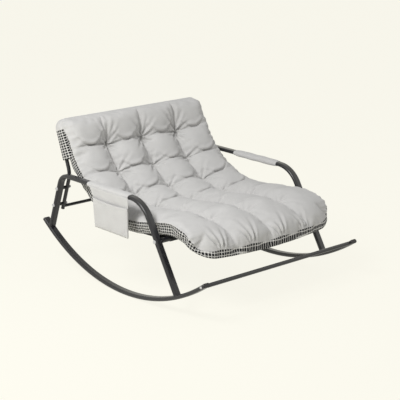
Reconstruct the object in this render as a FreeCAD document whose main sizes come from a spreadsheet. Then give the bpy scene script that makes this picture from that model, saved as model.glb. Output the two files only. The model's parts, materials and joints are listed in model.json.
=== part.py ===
"""Wide rocking lounge chair: two flat-oval side frames on rockers, a bolted back loop,
a hung fabric sling, one long tufted cushion with a hood, padded arms and a side pocket.

Millimetres. X across the chair, Y from front (-) to back (+), Z up.
Origin on the floor at mid-width, below the middle of the rockers' arc.
"""
import FreeCAD, Part
import math
import os

import Sketcher
from FreeCAD import Placement, Rotation, Vector

doc = FreeCAD.newDocument("rocking_lounge_chair")

# Driving dimensions, millimetres and degrees
SIZES = {
    # side frames
    "frame_half_spacing": 480,
    "oval_thickness": 20,
    "oval_wall": 1.5,
    "rocker_oval_width": 40,
    "leg_oval_width": 38,
    "rocker_radius": 1043,
    "rocker_centre_y": 10,
    "rocker_rear_angle": 37.6,
    "front_leg_angle": 23,
    "rear_leg_angle": 34.4,
    "arm_height": 492.5,
    "arm_front_y": -156,
    "arm_rear_y": 488,
    "arm_front_bend": 150,
    "arm_rear_bend": 70,
    # rocker end caps
    "cap_lip": 5,
    "cap_stem": 8,
    "cap_edge_chamfer": 2.5,
    "cap_clearance": 0.3,
    # front crossbar
    "crossbar_angle": 34.4,
    "crossbar_diameter": 19,
    "crossbar_tapped_depth": 26,
    "tip_overhang": 16,
    # front seat bar
    "seat_bar_height": 324,
    "seat_bar_diameter": 25,
    "seat_bar_wall": 1.5,
    # back loop and its rear bar
    "loop_diameter": 19,
    "loop_wall": 1.2,
    "loop_kink_height": 488,
    "loop_kink_bend": 90,
    "loop_lean": 20,
    "loop_top_height": 727,
    "loop_corner_bend": 60,
    "loop_foot_height": 295,
    "loop_upper_bolt_height": 415,
    "loop_lower_bolt_height": 322,
    "rear_bar_height": 306,
    "rear_bar_diameter": 16,
    "rear_bar_wall": 1.2,
    "spacer_length": 15.5,
    "spacer_diameter": 17,
    "foot_plug_lip": 3,
    "foot_plug_stem": 12,
    # fasteners
    "bolt_diameter": 8,
    "bolt_clearance": 0.05,
    "head_diameter": 13,
    "head_top_diameter": 8.5,
    "head_height": 3.5,
    "washer_diameter": 15,
    "washer_thickness": 1.5,
    "nut_across_corners": 14.4,
    "nut_height": 6.5,
    "bolt_end_past_nut": 1.5,
    "bolt_cap_diameter": 18,
    "bolt_cap_top_diameter": 15,
    "bolt_cap_wall": 1.5,
    "insert_length": 26,
    "bolt_reach": 22,
    "insert_clearance": 0.05,
    # sling
    "sling_side_gap": 26,
    "sling_thickness": 2,
    "sling_radius_over_half_rise": 368.5,
    "sling_dip": 26,
    "sling_notch_room": 2,
    "sleeve_wrap": 285,
    "soft_gap": 0.3,
    # cushion
    "cushion_side_gap": 14,
    "cushion_bays": 7,
    "cushion_back_bays": 4,
    "cushion_back_pitch": 175,
    "cushion_top_angle": 78,
    "cushion_bar_room": 2.5,
    "cushion_front_bend": 260,
    "cushion_front_turn": 40,
    "cushion_front_lip": 90,
    "cushion_crown": 104,
    "cushion_crease": 74,
    "cushion_tuft": 46,
    "cushion_edge": 48,
    "cushion_under_inset": 26,
    "cushion_side_swell": 5,
    "cushion_end_thickness": 30,
    "cushion_cover_wall": 5,
    "cushion_top_corner": 30,
    "cushion_front_corner": 130,
    # hood
    "hood_side_room": 4,
    "hood_thickness": 2,
    "hood_room": 4,
    "hood_height": 182,
    "hood_corner_round": 45,
    # arm pads
    "pad_front_y": -62,
    "pad_length": 320,
    "pad_width": 50,
    "pad_height": 31,
    "pad_cover_thickness": 1.5,
    # side pocket
    "pocket_front_y": -73,
    "pocket_length": 272,
    "pocket_top_spread": 34,
    "pocket_drop": 195,
    "pocket_mouth_drop": 48,
    "pocket_cloth": 2,
    "pocket_room": 8,
    "pocket_hinge_gap": 0.5,
    "pocket_foot_taper": 13,
    "pocket_round": 5,
}
sheet = doc.addObject("Spreadsheet::Sheet", "Sheet")
for row, (alias, value) in enumerate(SIZES.items(), start=1):
    sheet.set("A%d" % row, alias)
    sheet.set("B%d" % row, str(value))
    sheet.setAlias("B%d" % row, alias)
doc.recompute()

# Places worked out from the sheet, as expressions
PLACES = {
    "rocker_centre_z": "Sheet.rocker_radius + Sheet.oval_thickness / 2",
    "rocker_front_angle": "Sheet.crossbar_angle + Sheet.tip_overhang / Sheet.rocker_radius * 180 / pi",
    "crossbar_y": "Sheet.rocker_centre_y - Sheet.rocker_radius * sin(Sheet.crossbar_angle)",
    "crossbar_z": "Places.rocker_centre_z - Sheet.rocker_radius * cos(Sheet.crossbar_angle)",
    "front_base_y": "Sheet.rocker_centre_y - Sheet.rocker_radius * sin(Sheet.front_leg_angle)",
    "front_base_z": "Places.rocker_centre_z - Sheet.rocker_radius * cos(Sheet.front_leg_angle)",
    "rear_base_y": "Sheet.rocker_centre_y + Sheet.rocker_radius * sin(Sheet.rear_leg_angle)",
    "rear_base_z": "Places.rocker_centre_z - Sheet.rocker_radius * cos(Sheet.rear_leg_angle)",
    "front_leg_run": "(Sheet.arm_front_y - Places.front_base_y) / (Sheet.arm_height - Places.front_base_z)",
    "rear_leg_run": "(Sheet.arm_rear_y - Places.rear_base_y) / (Sheet.arm_height - Places.rear_base_z)",
    "seat_bar_y": "Sheet.arm_front_y + (Sheet.seat_bar_height - Sheet.arm_height) * Places.front_leg_run",
    "upper_bolt_y": "Sheet.arm_rear_y"
        " - Places.rear_leg_run * (Sheet.arm_height - Sheet.loop_upper_bolt_height)",
    "lower_bolt_y": "Sheet.arm_rear_y"
        " - Places.rear_leg_run * (Sheet.arm_height - Sheet.loop_lower_bolt_height)",
    "rear_bar_y": "Sheet.arm_rear_y + (Sheet.rear_bar_height - Sheet.arm_height) * Places.rear_leg_run",
    "leg_inner_x": "Sheet.frame_half_spacing - Sheet.leg_oval_width / 2",
    "rocker_inner_x": "Sheet.frame_half_spacing - Sheet.rocker_oval_width / 2",
    "loop_x": "Places.leg_inner_x - Sheet.spacer_length - Sheet.loop_diameter / 2",
    # the sling's curve opens out as its top bar rises above the seat bar
    "sling_radius": "(Sheet.loop_top_height - Sheet.seat_bar_height) / 2 + Sheet.sling_radius_over_half_rise",
}
places = doc.addObject("App::VarSet", "Places")
for name in PLACES:
    places.addProperty("App::PropertyFloat", name)
for name, expression in PLACES.items():
    places.setExpression(name, expression)
doc.recompute()


def size(alias):
    return float(sheet.get(alias))


def place(name):
    return getattr(places, name)


SIDES = {"right": -1, "left": 1}
finished = {}


def keep(label, thing):
    """Names a finished sub-part."""
    thing.Label = label
    finished[label] = thing
    return thing


def bind(thing, **expressions):
    """Binds properties to expressions; a double underscore stands for a dot."""
    for path, expression in expressions.items():
        thing.setExpression(path.replace("__", "."), expression)
    return thing


def origin_plane(body, role):
    return next(f for f in body.Origin.OriginFeatures if f.Role == role)


def new_sketch(body, name, role):
    sketch = body.newObject("Sketcher::SketchObject", name)
    sketch.AttachmentSupport = [(origin_plane(body, role), "")]
    sketch.MapMode = "FlatFace"
    return sketch


def hold(sketch, kind, *where, to=None):
    """Adds a constraint, bound to an expression where one is given."""
    if to is None:
        return sketch.addConstraint(Sketcher.Constraint(kind, *where))
    value = abs(sketch.evalExpression(to)) if kind in ("Radius", "Diameter") else sketch.evalExpression(to)
    index = sketch.addConstraint(Sketcher.Constraint(kind, *where, float(value)))
    sketch.setExpression("Constraints[%d]" % index, to)
    return index


def centre_point(sketch, across, up):
    """A construction point at bound coordinates; returns its geometry index."""
    point = sketch.addGeometry(Part.Point(Vector(1, 1, 0)), True)
    hold(sketch, "DistanceX", -1, 1, point, 1, to=across)
    hold(sketch, "DistanceY", -1, 1, point, 1, to=up)
    return point


def draw_oval(sketch, width, thickness, point):
    """Flat oval centred on a construction point: two flats and two half-round ends."""
    radius = sketch.evalExpression(thickness) / 2
    flat = sketch.evalExpression(width) / 2 - radius
    at = sketch.Geometry[point]
    middle = Vector(at.X, at.Y, 0)
    up = Vector(0, radius, 0)
    out = Vector(flat, 0, 0)
    ring = Vector(0, 0, 1)
    top = sketch.addGeometry(Part.LineSegment(middle - out + up, middle + out + up))
    right = sketch.addGeometry(
        Part.ArcOfCircle(Part.Circle(middle + out, ring, radius), -math.pi / 2, math.pi / 2))
    low = sketch.addGeometry(Part.LineSegment(middle + out - up, middle - out - up))
    left = sketch.addGeometry(
        Part.ArcOfCircle(Part.Circle(middle - out, ring, radius), math.pi / 2, 3 * math.pi / 2))
    hold(sketch, "Tangent", top, 2, right, 2)
    hold(sketch, "Tangent", right, 1, low, 1)
    hold(sketch, "Tangent", low, 2, left, 2)
    hold(sketch, "Tangent", left, 1, top, 1)
    hold(sketch, "Horizontal", top)
    hold(sketch, "Symmetric", left, 3, right, 3, point, 1)
    hold(sketch, "Radius", right, to="(%s) / 2" % thickness)
    hold(sketch, "DistanceX", left, 3, right, 3, to="(%s) - (%s)" % (width, thickness))


def draw_circle(sketch, diameter, across, up):
    radius = sketch.evalExpression(diameter) / 2
    middle = Vector(sketch.evalExpression(across), sketch.evalExpression(up), 0)
    circle = sketch.addGeometry(Part.Circle(middle, Vector(0, 0, 1), radius))
    hold(sketch, "DistanceX", -1, 1, circle, 3, to=across)
    hold(sketch, "DistanceY", -1, 1, circle, 3, to=up)
    hold(sketch, "Diameter", circle, to=diameter)


def pad_both_ways(body, name, sketch, length):
    pad = body.newObject("PartDesign::Pad", name)
    pad.Profile = sketch
    pad.SideType = "Symmetric"
    bind(pad, Length=length)
    return pad


def drill_through(body, name, sketch):
    """Cuts the sketch right through the body, both ways, and checks that it cut."""
    doc.recompute()
    before = body.Shape.Volume
    hole = body.newObject("PartDesign::Pocket", name)
    hole.Profile = sketch
    hole.SideType = "Symmetric"
    hole.Type = "ThroughAll"
    doc.recompute()
    if body.Shape.Volume >= before:
        raise ValueError("%s cuts nothing" % name)


BOLT_HOLE = "Sheet.bolt_diameter + 2 * Sheet.bolt_clearance"


# Rockers
def make_rocker(name, side, hollow):
    """Flat-oval tube turned about the rocker's own centre, from the front tip to the rear tip."""
    body = doc.addObject("PartDesign::Body", name)
    section = new_sketch(body, name + "_section", "XZ_Plane")
    middle = centre_point(section, "0", "-Sheet.rocker_radius")
    doc.recompute()
    draw_oval(section, "Sheet.rocker_oval_width", "Sheet.oval_thickness", middle)
    if hollow:
        draw_oval(section, "Sheet.rocker_oval_width - 2 * Sheet.oval_wall",
                  "Sheet.oval_thickness - 2 * Sheet.oval_wall", middle)
    turn = body.newObject("PartDesign::Revolution", name + "_turn")
    turn.Profile = section
    turn.ReferenceAxis = (section, ["H_Axis"])
    bind(turn, Angle="Places.rocker_front_angle + Sheet.rocker_rear_angle")
    if hollow:
        bore = new_sketch(body, name + "_bolt_hole_sketch", "YZ_Plane")
        draw_circle(bore, BOLT_HOLE,
                    "Sheet.rocker_radius * sin(Places.rocker_front_angle - Sheet.crossbar_angle)",
                    "-Sheet.rocker_radius * cos(Places.rocker_front_angle - Sheet.crossbar_angle)")
        drill_through(body, name + "_bolt_hole", bore)
    body.Placement = Placement(Vector(), Rotation(Vector(-1, 0, 0), 30))
    bind(body, Placement__Base__x="%d * Sheet.frame_half_spacing" % side,
         Placement__Base__y="Sheet.rocker_centre_y", Placement__Base__z="Places.rocker_centre_z",
         Placement__Rotation__Angle="Places.rocker_front_angle")
    return body


rocker_blanks = {}
for side_name, side in SIDES.items():
    keep(side_name + "_rocker", make_rocker(side_name + "_rocker", side, True))
    rocker_blanks[side_name] = make_rocker(side_name + "_rocker_blank", side, False)


# Rocker end caps
def make_cap(label, side, angle, outward):
    """Plug with an oval lip over the tube's end and a stem inside it."""
    body = doc.addObject("PartDesign::Body", label)
    lip_sketch = new_sketch(body, label + "_lip_sketch", "XY_Plane")
    middle = centre_point(lip_sketch, "0", "0")
    draw_oval(lip_sketch, "Sheet.rocker_oval_width", "Sheet.oval_thickness", middle)
    lip = body.newObject("PartDesign::Pad", label + "_lip")
    lip.Profile = lip_sketch
    bind(lip, Length="Sheet.cap_lip")
    stem_sketch = new_sketch(body, label + "_stem_sketch", "XY_Plane")
    middle = centre_point(stem_sketch, "0", "0")
    inner = "- 2 * Sheet.oval_wall - 2 * Sheet.cap_clearance"
    draw_oval(stem_sketch, "Sheet.rocker_oval_width " + inner, "Sheet.oval_thickness " + inner, middle)
    stem = body.newObject("PartDesign::Pad", label + "_stem")
    stem.Profile = stem_sketch
    stem.Reversed = True
    bind(stem, Length="Sheet.cap_stem")
    doc.recompute()
    rim = ["Edge%d" % (i + 1) for i, e in enumerate(body.Shape.Edges)
           if e.BoundBox.ZMin > size("cap_lip") - 0.01]
    soften = body.newObject("PartDesign::Chamfer", label + "_chamfer")
    soften.Base = (stem, rim)
    bind(soften, Size="Sheet.cap_edge_chamfer")
    body.Placement = Placement(Vector(), Rotation(Vector(outward, 0, 0), 60))
    bind(body, Placement__Base__x="%d * Sheet.frame_half_spacing" % side,
         Placement__Base__y="Sheet.rocker_centre_y - %d * Sheet.rocker_radius * sin(%s)" % (outward, angle),
         Placement__Base__z="Places.rocker_centre_z - Sheet.rocker_radius * cos(%s)" % angle,
         Placement__Rotation__Angle="90 - %s" % angle)
    return keep(label, body)


for side_name, side in SIDES.items():
    make_cap(side_name + "_front_rocker_cap", side, "Places.rocker_front_angle", 1)
    make_cap(side_name + "_rear_rocker_cap", side, "Sheet.rocker_rear_angle", -1)


# Arm frames
def corner_points(before, corner, after, radius):
    """Start, middle and end of the arc of a given radius that rounds a corner."""
    back = (before - corner).normalize()
    ahead = (after - corner).normalize()
    half = back.getAngle(ahead) / 2
    reach = radius / math.tan(half)
    middle = corner + (back + ahead).normalize() * (radius / math.sin(half))
    nearest = middle + (corner - middle).normalize() * radius
    return corner + back * reach, nearest, corner + ahead * reach


def draw_arm_line(sketch):
    """Front leg, arm and rear leg: three straight runs joined by two tangent bends."""
    runs = [Vector(place("front_base_y"), place("front_base_z"), 0),
            Vector(size("arm_front_y"), size("arm_height"), 0),
            Vector(size("arm_rear_y"), size("arm_height"), 0),
            Vector(place("rear_base_y"), place("rear_base_z"), 0)]
    front_arc = corner_points(*runs[:3], size("arm_front_bend"))
    rear_arc = corner_points(*runs[1:], size("arm_rear_bend"))
    ends = [runs[0], front_arc[0], front_arc[2], rear_arc[0], rear_arc[2], runs[3]]
    legs = [sketch.addGeometry(Part.LineSegment(ends[i], ends[i + 1])) for i in (0, 2, 4)]
    # an arc of a sketch runs anticlockwise, so each bend starts at the run that follows it
    bends = [sketch.addGeometry(Part.ArcOfCircle(*reversed(arc))) for arc in (front_arc, rear_arc)]
    for i, bend in enumerate(bends):
        hold(sketch, "Tangent", legs[i], 2, bend, 2)
        hold(sketch, "Tangent", bend, 1, legs[i + 1], 1)
    hold(sketch, "Radius", bends[0], to="Sheet.arm_front_bend")
    hold(sketch, "Radius", bends[1], to="Sheet.arm_rear_bend")
    hold(sketch, "DistanceX", -1, 1, legs[0], 1, to="Places.front_base_y")
    hold(sketch, "DistanceY", -1, 1, legs[0], 1, to="Places.front_base_z")
    hold(sketch, "DistanceX", -1, 1, legs[2], 2, to="Places.rear_base_y")
    hold(sketch, "DistanceY", -1, 1, legs[2], 2, to="Places.rear_base_z")
    for i, corner_y in enumerate(("Sheet.arm_front_y", "Sheet.arm_rear_y")):
        corner = centre_point(sketch, corner_y, "Sheet.arm_height")
        hold(sketch, "PointOnObject", corner, 1, legs[i])
        hold(sketch, "PointOnObject", corner, 1, legs[i + 1])


def make_arm_frame(side_name, side):
    """Bent flat-oval tube with its bolt holes, coped to sit on its rocker."""
    label = side_name + "_arm_frame"
    body = doc.addObject("PartDesign::Body", label + "_tube")
    line = new_sketch(body, label + "_line", "YZ_Plane")
    draw_arm_line(line)
    doc.recompute()
    section = body.newObject("Sketcher::SketchObject", label + "_section")
    section.AttachmentSupport = [(line, "Edge1")]
    section.MapMode = "NormalToEdge"
    section.MapPathParameter = 0
    middle = centre_point(section, "0", "0")
    doc.recompute()
    for wall in ("0", "Sheet.oval_wall"):
        draw_oval(section, "Sheet.leg_oval_width - 2 * " + wall, "Sheet.oval_thickness - 2 * " + wall, middle)
    doc.recompute()
    if section.Placement.Rotation.multVec(Vector(1, 0, 0)).cross(Vector(1, 0, 0)).Length > 0.1:
        section.AttachmentOffset = Placement(Vector(), Rotation(Vector(0, 0, 1), 90))
    pipe = body.newObject("PartDesign::AdditivePipe", label + "_pipe")
    pipe.Profile = section
    pipe.Spine = (line, ["Edge%d" % (i + 1) for i in range(5)])
    pipe.Mode = "Standard"
    holes = new_sketch(body, label + "_holes_sketch", "YZ_Plane")
    draw_circle(holes, BOLT_HOLE, "Places.seat_bar_y", "Sheet.seat_bar_height")
    draw_circle(holes, BOLT_HOLE, "Places.upper_bolt_y", "Sheet.loop_upper_bolt_height")
    draw_circle(holes, BOLT_HOLE, "Places.lower_bolt_y", "Sheet.loop_lower_bolt_height")
    drill_through(body, label + "_holes", holes)
    bind(body, Placement__Base__x="%d * Sheet.frame_half_spacing" % side)
    cope = doc.addObject("Part::Cut", label)
    cope.Base = body
    cope.Tool = rocker_blanks[side_name]
    return keep(label, cope)


for side_name, side in SIDES.items():
    make_arm_frame(side_name, side)


# Turned pieces along X, measured outwards from the mid-plane
def cylinder(name, side, diameter, start, length, y, z):
    """Round bar along X on one side; start is its inner end's distance from the mid-plane."""
    thing = doc.addObject("Part::Cylinder", name)
    thing.Placement = Placement(Vector(), Rotation(Vector(0, 1, 0), side * 90))
    bind(thing, Radius="(%s) / 2" % diameter, Height=length, Placement__Base__x="%d * (%s)" % (side, start),
         Placement__Base__y=y, Placement__Base__z=z)
    return thing


def cone(name, side, diameter, far_diameter, start, length, y, z):
    thing = doc.addObject("Part::Cone", name)
    thing.Placement = Placement(Vector(), Rotation(Vector(0, 1, 0), side * 90))
    bind(thing, Radius1="(%s) / 2" % diameter, Radius2="(%s) / 2" % far_diameter, Height=length,
         Placement__Base__x="%d * (%s)" % (side, start), Placement__Base__y=y, Placement__Base__z=z)
    return thing


def join(name, base, tool):
    fuse = doc.addObject("Part::Fuse", name)
    fuse.Base = base
    fuse.Tool = tool
    return fuse


def cut(name, base, tool):
    less = doc.addObject("Part::Cut", name)
    less.Base = base
    less.Tool = tool
    return less


def group(label, things):
    """Separate solids that share one node."""
    together = doc.addObject("Part::Compound", label)
    together.Links = things
    return keep(label, together)


def make_bar(label, y, z, diameter, wall, length):
    """Straight round tube along X, centred on the mid-plane."""
    body = doc.addObject("PartDesign::Body", label)
    ring = new_sketch(body, label + "_ring", "YZ_Plane")
    draw_circle(ring, diameter, y, z)
    draw_circle(ring, "%s - 2 * %s" % (diameter, wall), y, z)
    pad_both_ways(body, label + "_pad", ring, length)
    return body


def make_bolt(name, side, inner_end, seat, y, z):
    """Bolt with a low domed head; seat is where the head's underside rests."""
    shank = cylinder(name + "_shank", side, "Sheet.bolt_diameter", inner_end,
                     "%s - (%s)" % (seat, inner_end), y, z)
    head = cone(name + "_head", side, "Sheet.head_diameter", "Sheet.head_top_diameter", seat,
                "Sheet.head_height", y, z)
    return join(name, shank, head)


def make_insert(name, side, bar_diameter, bar_wall, outer_end, y, z):
    """Threaded plug pressed into a bar's end."""
    plug_diameter = "%s - 2 * %s - 2 * Sheet.insert_clearance" % (bar_diameter, bar_wall)
    plug = cylinder(name + "_plug", side, plug_diameter, "%s - Sheet.insert_length" % outer_end,
                    "Sheet.insert_length", y, z)
    hole = cylinder(name + "_hole", side, BOLT_HOLE, "%s - Sheet.insert_length" % outer_end,
                    "Sheet.insert_length", y, z)
    return cut(name, plug, hole)


def make_bolt_cap(name, side, seat, y, z):
    """Round plastic cap over a bolt head."""
    height = "Sheet.head_height + Sheet.cap_clearance + Sheet.bolt_cap_wall"
    dome = cone(name + "_dome", side, "Sheet.bolt_cap_diameter", "Sheet.bolt_cap_top_diameter", seat,
                height, y, z)
    room = cylinder(name + "_room", side, "Sheet.head_diameter + 2 * Sheet.cap_clearance", seat,
                    "Sheet.head_height + Sheet.cap_clearance", y, z)
    return cut(name, dome, room)


# Front crossbar between the rocker tips: a solid bar tapped at both ends, which balances the back
ROCKER_OUTER_X = "(Sheet.frame_half_spacing + Sheet.rocker_oval_width / 2)"
LEG_OUTER_X = "(Sheet.frame_half_spacing + Sheet.leg_oval_width / 2)"
CROSSBAR = ("Places.crossbar_y", "Places.crossbar_z")
SEAT_BAR = ("Places.seat_bar_y", "Sheet.seat_bar_height")
crossbar_blank = cylinder("front_crossbar_blank", SIDES["left"], "Sheet.crossbar_diameter",
                          "-Places.rocker_inner_x", "2 * Places.rocker_inner_x", *CROSSBAR)
tapped_holes = doc.addObject("Part::Compound", "front_crossbar_holes")
tapped_holes.Links = [
    cylinder(name + "_crossbar_hole", side, BOLT_HOLE, "Places.rocker_inner_x - Sheet.crossbar_tapped_depth",
             "Sheet.crossbar_tapped_depth", *CROSSBAR) for name, side in SIDES.items()]
keep("front_crossbar", cut("front_crossbar", crossbar_blank, tapped_holes))
group("front_crossbar_bolts", [
    make_bolt(name + "_crossbar_bolt", side, "Places.rocker_inner_x - Sheet.bolt_reach", ROCKER_OUTER_X,
              *CROSSBAR) for name, side in SIDES.items()])

# Front seat bar between the front legs
keep("front_seat_bar", make_bar("front_seat_bar", *SEAT_BAR, "Sheet.seat_bar_diameter", "Sheet.seat_bar_wall",
                                "2 * Places.leg_inner_x"))
group("seat_bar_inserts", [
    make_insert(name + "_seat_bar_insert", side, "Sheet.seat_bar_diameter", "Sheet.seat_bar_wall",
                "Places.leg_inner_x", *SEAT_BAR) for name, side in SIDES.items()])
group("seat_bar_bolts", [
    make_bolt(name + "_seat_bar_bolt", side, "Places.leg_inner_x - Sheet.bolt_reach", LEG_OUTER_X, *SEAT_BAR)
    for name, side in SIDES.items()])
group("seat_bar_bolt_caps", [
    make_bolt_cap(name + "_seat_bar_cap", side, LEG_OUTER_X, *SEAT_BAR) for name, side in SIDES.items()])


# Back loop: a tall U that leans forwards below the arms and backwards above them
def rear_leg_y(height):
    return size("arm_rear_y") + (height - size("arm_height")) * place("rear_leg_run")


LOOP_TOP_Y = rear_leg_y(size("loop_kink_height")) + (
    size("loop_top_height") - size("loop_kink_height")) * math.tan(math.radians(size("loop_lean")))


def loop_path():
    """Foot, kink and top corner up one side, across, and down the other."""
    x = place("loop_x")
    profile = [(rear_leg_y(size("loop_foot_height")), size("loop_foot_height")),
               (rear_leg_y(size("loop_kink_height")), size("loop_kink_height")),
               (LOOP_TOP_Y, size("loop_top_height"))]
    points = [Vector(-x, y, z) for y, z in profile] + [Vector(x, y, z) for y, z in reversed(profile)]
    bends = [size("loop_kink_bend"), size("loop_corner_bend")]
    radii = bends + bends[::-1]
    edges = []
    start = points[0]
    for i, radius in enumerate(radii):
        arc = corner_points(points[i], points[i + 1], points[i + 2], radius)
        edges.append(Part.LineSegment(start, arc[0]).toShape())
        edges.append(Part.Arc(*arc).toShape())
        start = arc[2]
    edges.append(Part.LineSegment(start, points[-1]).toShape())
    return Part.Wire(edges)


def round_tube(path, diameter):
    """Solid of a round section carried along a path of straight runs and tangent arcs."""
    first = path.Edges[0]
    along = first.tangentAt(first.FirstParameter)
    ring = Part.Wire(Part.makeCircle(diameter / 2, first.valueAt(first.FirstParameter), along))
    return path.makePipeShell([ring], True, True)


def feature(name, shape):
    thing = doc.addObject("Part::Feature", name)
    thing.Shape = shape
    return thing


LOOP_BOLTS = {"upper": ("Places.upper_bolt_y", "Sheet.loop_upper_bolt_height"),
              "lower": ("Places.lower_bolt_y", "Sheet.loop_lower_bolt_height")}
LOOP_STATIONS = [(row + "_" + name, side, *at)
                 for row, at in LOOP_BOLTS.items() for name, side in SIDES.items()]
LOOP_INNER_X = "(Places.loop_x - Sheet.loop_diameter / 2)"
loop_blank = feature("loop_blank", round_tube(loop_path(), size("loop_diameter")))
loop_bore = feature("loop_bore", round_tube(loop_path(), size("loop_diameter") - 2 * size("loop_wall")))
loop_drills = doc.addObject("Part::Compound", "loop_drills")
loop_drills.Links = [
    cylinder(name + "_loop_drill", side, BOLT_HOLE, "Places.loop_x - Sheet.loop_diameter",
             "2 * Sheet.loop_diameter", y, z)
    for name, side, y, z in LOOP_STATIONS]
keep("back_loop", cut("back_loop", cut("back_loop_tube", loop_blank, loop_bore), loop_drills))
rear_bar = make_bar("rear_bar_tube", "Places.rear_bar_y", "Sheet.rear_bar_height", "Sheet.rear_bar_diameter",
                    "Sheet.rear_bar_wall", "2 * Places.loop_x")
keep("rear_crossbar", cut("rear_crossbar", rear_bar, loop_blank))


def along_leg(name, side, diameter, x, y, z):
    """Round bar parallel to the rear leg, used to cope a spacer."""
    thing = doc.addObject("Part::Cylinder", name)
    thing.Placement = Placement(Vector(), Rotation(Vector(1, 0, 0), 20))
    reach = "2 * Sheet.spacer_diameter"
    bind(thing, Radius="(%s) / 2" % diameter, Height="2 * " + reach,
         Placement__Base__x="%d * (%s)" % (side, x),
         Placement__Base__y="%s + %s * sin(atan(-Places.rear_leg_run))" % (y, reach),
         Placement__Base__z="%s - %s * cos(atan(-Places.rear_leg_run))" % (z, reach),
         Placement__Rotation__Angle="atan(-Places.rear_leg_run)")
    return thing


def make_spacer(name, side, y, z):
    """Bush between leg and loop, hollowed at each end to the tube that it bears on."""
    leg_end_x = "Places.leg_inner_x + Sheet.oval_thickness / 2"
    blank = cylinder(name + "_blank", side, "Sheet.spacer_diameter", "Places.loop_x",
                     "%s - Places.loop_x" % leg_end_x, y, z)
    hole = cylinder(name + "_hole", side, BOLT_HOLE, "Places.loop_x", "%s - Places.loop_x" % leg_end_x, y, z)
    bored = cut(name + "_bored", blank, hole)
    leg_side = along_leg(name + "_leg_side", side, "Sheet.oval_thickness", leg_end_x, y, z)
    loop_side = along_leg(name + "_loop_side", side, "Sheet.loop_diameter", "Places.loop_x", y, z)
    return cut(name, cut(name + "_coped", bored, leg_side), loop_side)


def make_nut(name, side, y, z):
    """Hexagon nut on the loop's inner side, against its washer."""
    seat = LOOP_INNER_X + " - Sheet.washer_thickness"
    blank = doc.addObject("Part::Prism", name + "_blank")
    blank.Polygon = 6
    blank.Placement = Placement(Vector(), Rotation(Vector(0, 1, 0), -side * 90))
    bind(blank, Circumradius="Sheet.nut_across_corners / 2", Height="Sheet.nut_height",
         Placement__Base__x="%d * (%s)" % (side, seat), Placement__Base__y=y, Placement__Base__z=z)
    hole = cylinder(name + "_hole", side, BOLT_HOLE, seat + " - Sheet.nut_height", "Sheet.nut_height", y, z)
    return cut(name, blank, hole)


def make_washer(name, side, y, z):
    start = LOOP_INNER_X + " - Sheet.washer_thickness"
    disc = cylinder(name + "_disc", side, "Sheet.washer_diameter", start, "Sheet.washer_thickness", y, z)
    hole = cylinder(name + "_hole", side, BOLT_HOLE, start, "Sheet.washer_thickness", y, z)
    return cut(name, disc, hole)


loop_bolt_end = LOOP_INNER_X + " - Sheet.washer_thickness - Sheet.nut_height - Sheet.bolt_end_past_nut"
group("back_loop_spacers", [make_spacer(n + "_spacer", s, y, z) for n, s, y, z in LOOP_STATIONS])
group("back_loop_bolts", [make_bolt(n + "_loop_bolt", s, loop_bolt_end, LEG_OUTER_X, y, z)
                          for n, s, y, z in LOOP_STATIONS])
group("back_loop_washers", [make_washer(n + "_washer", s, y, z) for n, s, y, z in LOOP_STATIONS])
group("back_loop_nuts", [make_nut(n + "_nut", s, y, z) for n, s, y, z in LOOP_STATIONS])
group("back_loop_bolt_caps", [
    make_bolt_cap(n + "_loop_cap", s, LEG_OUTER_X, y, z) for n, s, y, z in LOOP_STATIONS])


def make_foot_plug(name, side):
    """Plug in the open foot of the loop: a round lip and a stem up inside the tube."""
    foot = Vector(side * place("loop_x"), rear_leg_y(size("loop_foot_height")), size("loop_foot_height"))
    up = Vector(0, place("rear_leg_run"), 1).normalize()
    lip = Part.makeCylinder(size("loop_diameter") / 2, size("foot_plug_lip"), foot, -up)
    stem_radius = size("loop_diameter") / 2 - size("loop_wall") - size("cap_clearance")
    return feature(name, lip.fuse(Part.makeCylinder(stem_radius, size("foot_plug_stem"), foot, up)))


group("back_loop_foot_plugs", [make_foot_plug(name + "_foot_plug", side) for name, side in SIDES.items()])


# Soft goods: flat helpers in the side plane, as (y, z) pairs
def flat(y, z, x=0):
    return Vector(x, y, z)


def turned(degrees):
    """Unit vector in the side plane; 0 points to the back, 90 up."""
    return flat(math.cos(math.radians(degrees)), math.sin(math.radians(degrees)))


def angle_of(vector):
    return math.degrees(math.atan2(vector.z, vector.y))


LEAST_ARCS = 2


def arc_edges(middle, radius, start, end):
    """Arc of a circle in the side plane, split so that each piece is under a half circle."""
    count = LEAST_ARCS if abs(end - start) > 150 else 1
    step = (end - start) / count
    corners = [start + i * step for i in range(count)]
    return [Part.Arc(middle + turned(a) * radius, middle + turned(a + step / 2) * radius,
                     middle + turned(a + step) * radius).toShape() for a in corners]


def band(runs, thickness):
    """Face of even thickness along a path of arcs (middle, radius, start, end) in the side plane.

    Neighbouring arcs are joined by straight runs where they don't meet."""
    half = thickness / 2
    sides = []
    for sign in (1, -1):
        edges = []
        for middle, radius, start, end in runs:
            swing = 1 if end > start else -1
            pieces = arc_edges(middle, radius + sign * swing * half, start, end)
            if edges:
                last = edges[-1].valueAt(edges[-1].LastParameter)
                first = pieces[0].valueAt(pieces[0].FirstParameter)
                if (last - first).Length > 1e-6:
                    edges.append(Part.LineSegment(last, first).toShape())
            edges += pieces
        sides.append(edges)
    ends = []
    for index, parameter in ((0, "FirstParameter"), (-1, "LastParameter")):
        tips = [edges[index].valueAt(getattr(edges[index], parameter)) for edges in sides]
        ends.append(Part.LineSegment(*tips).toShape())
    return Part.Face(Part.Wire(Part.__sortEdges__(sides[0] + sides[1] + ends)))


def across(face, half_width):
    """Solid of a side-plane face drawn equally to both sides of the mid-plane."""
    face.translate(Vector(-half_width, 0, 0))
    return face.extrude(Vector(2 * half_width, 0, 0))


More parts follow.
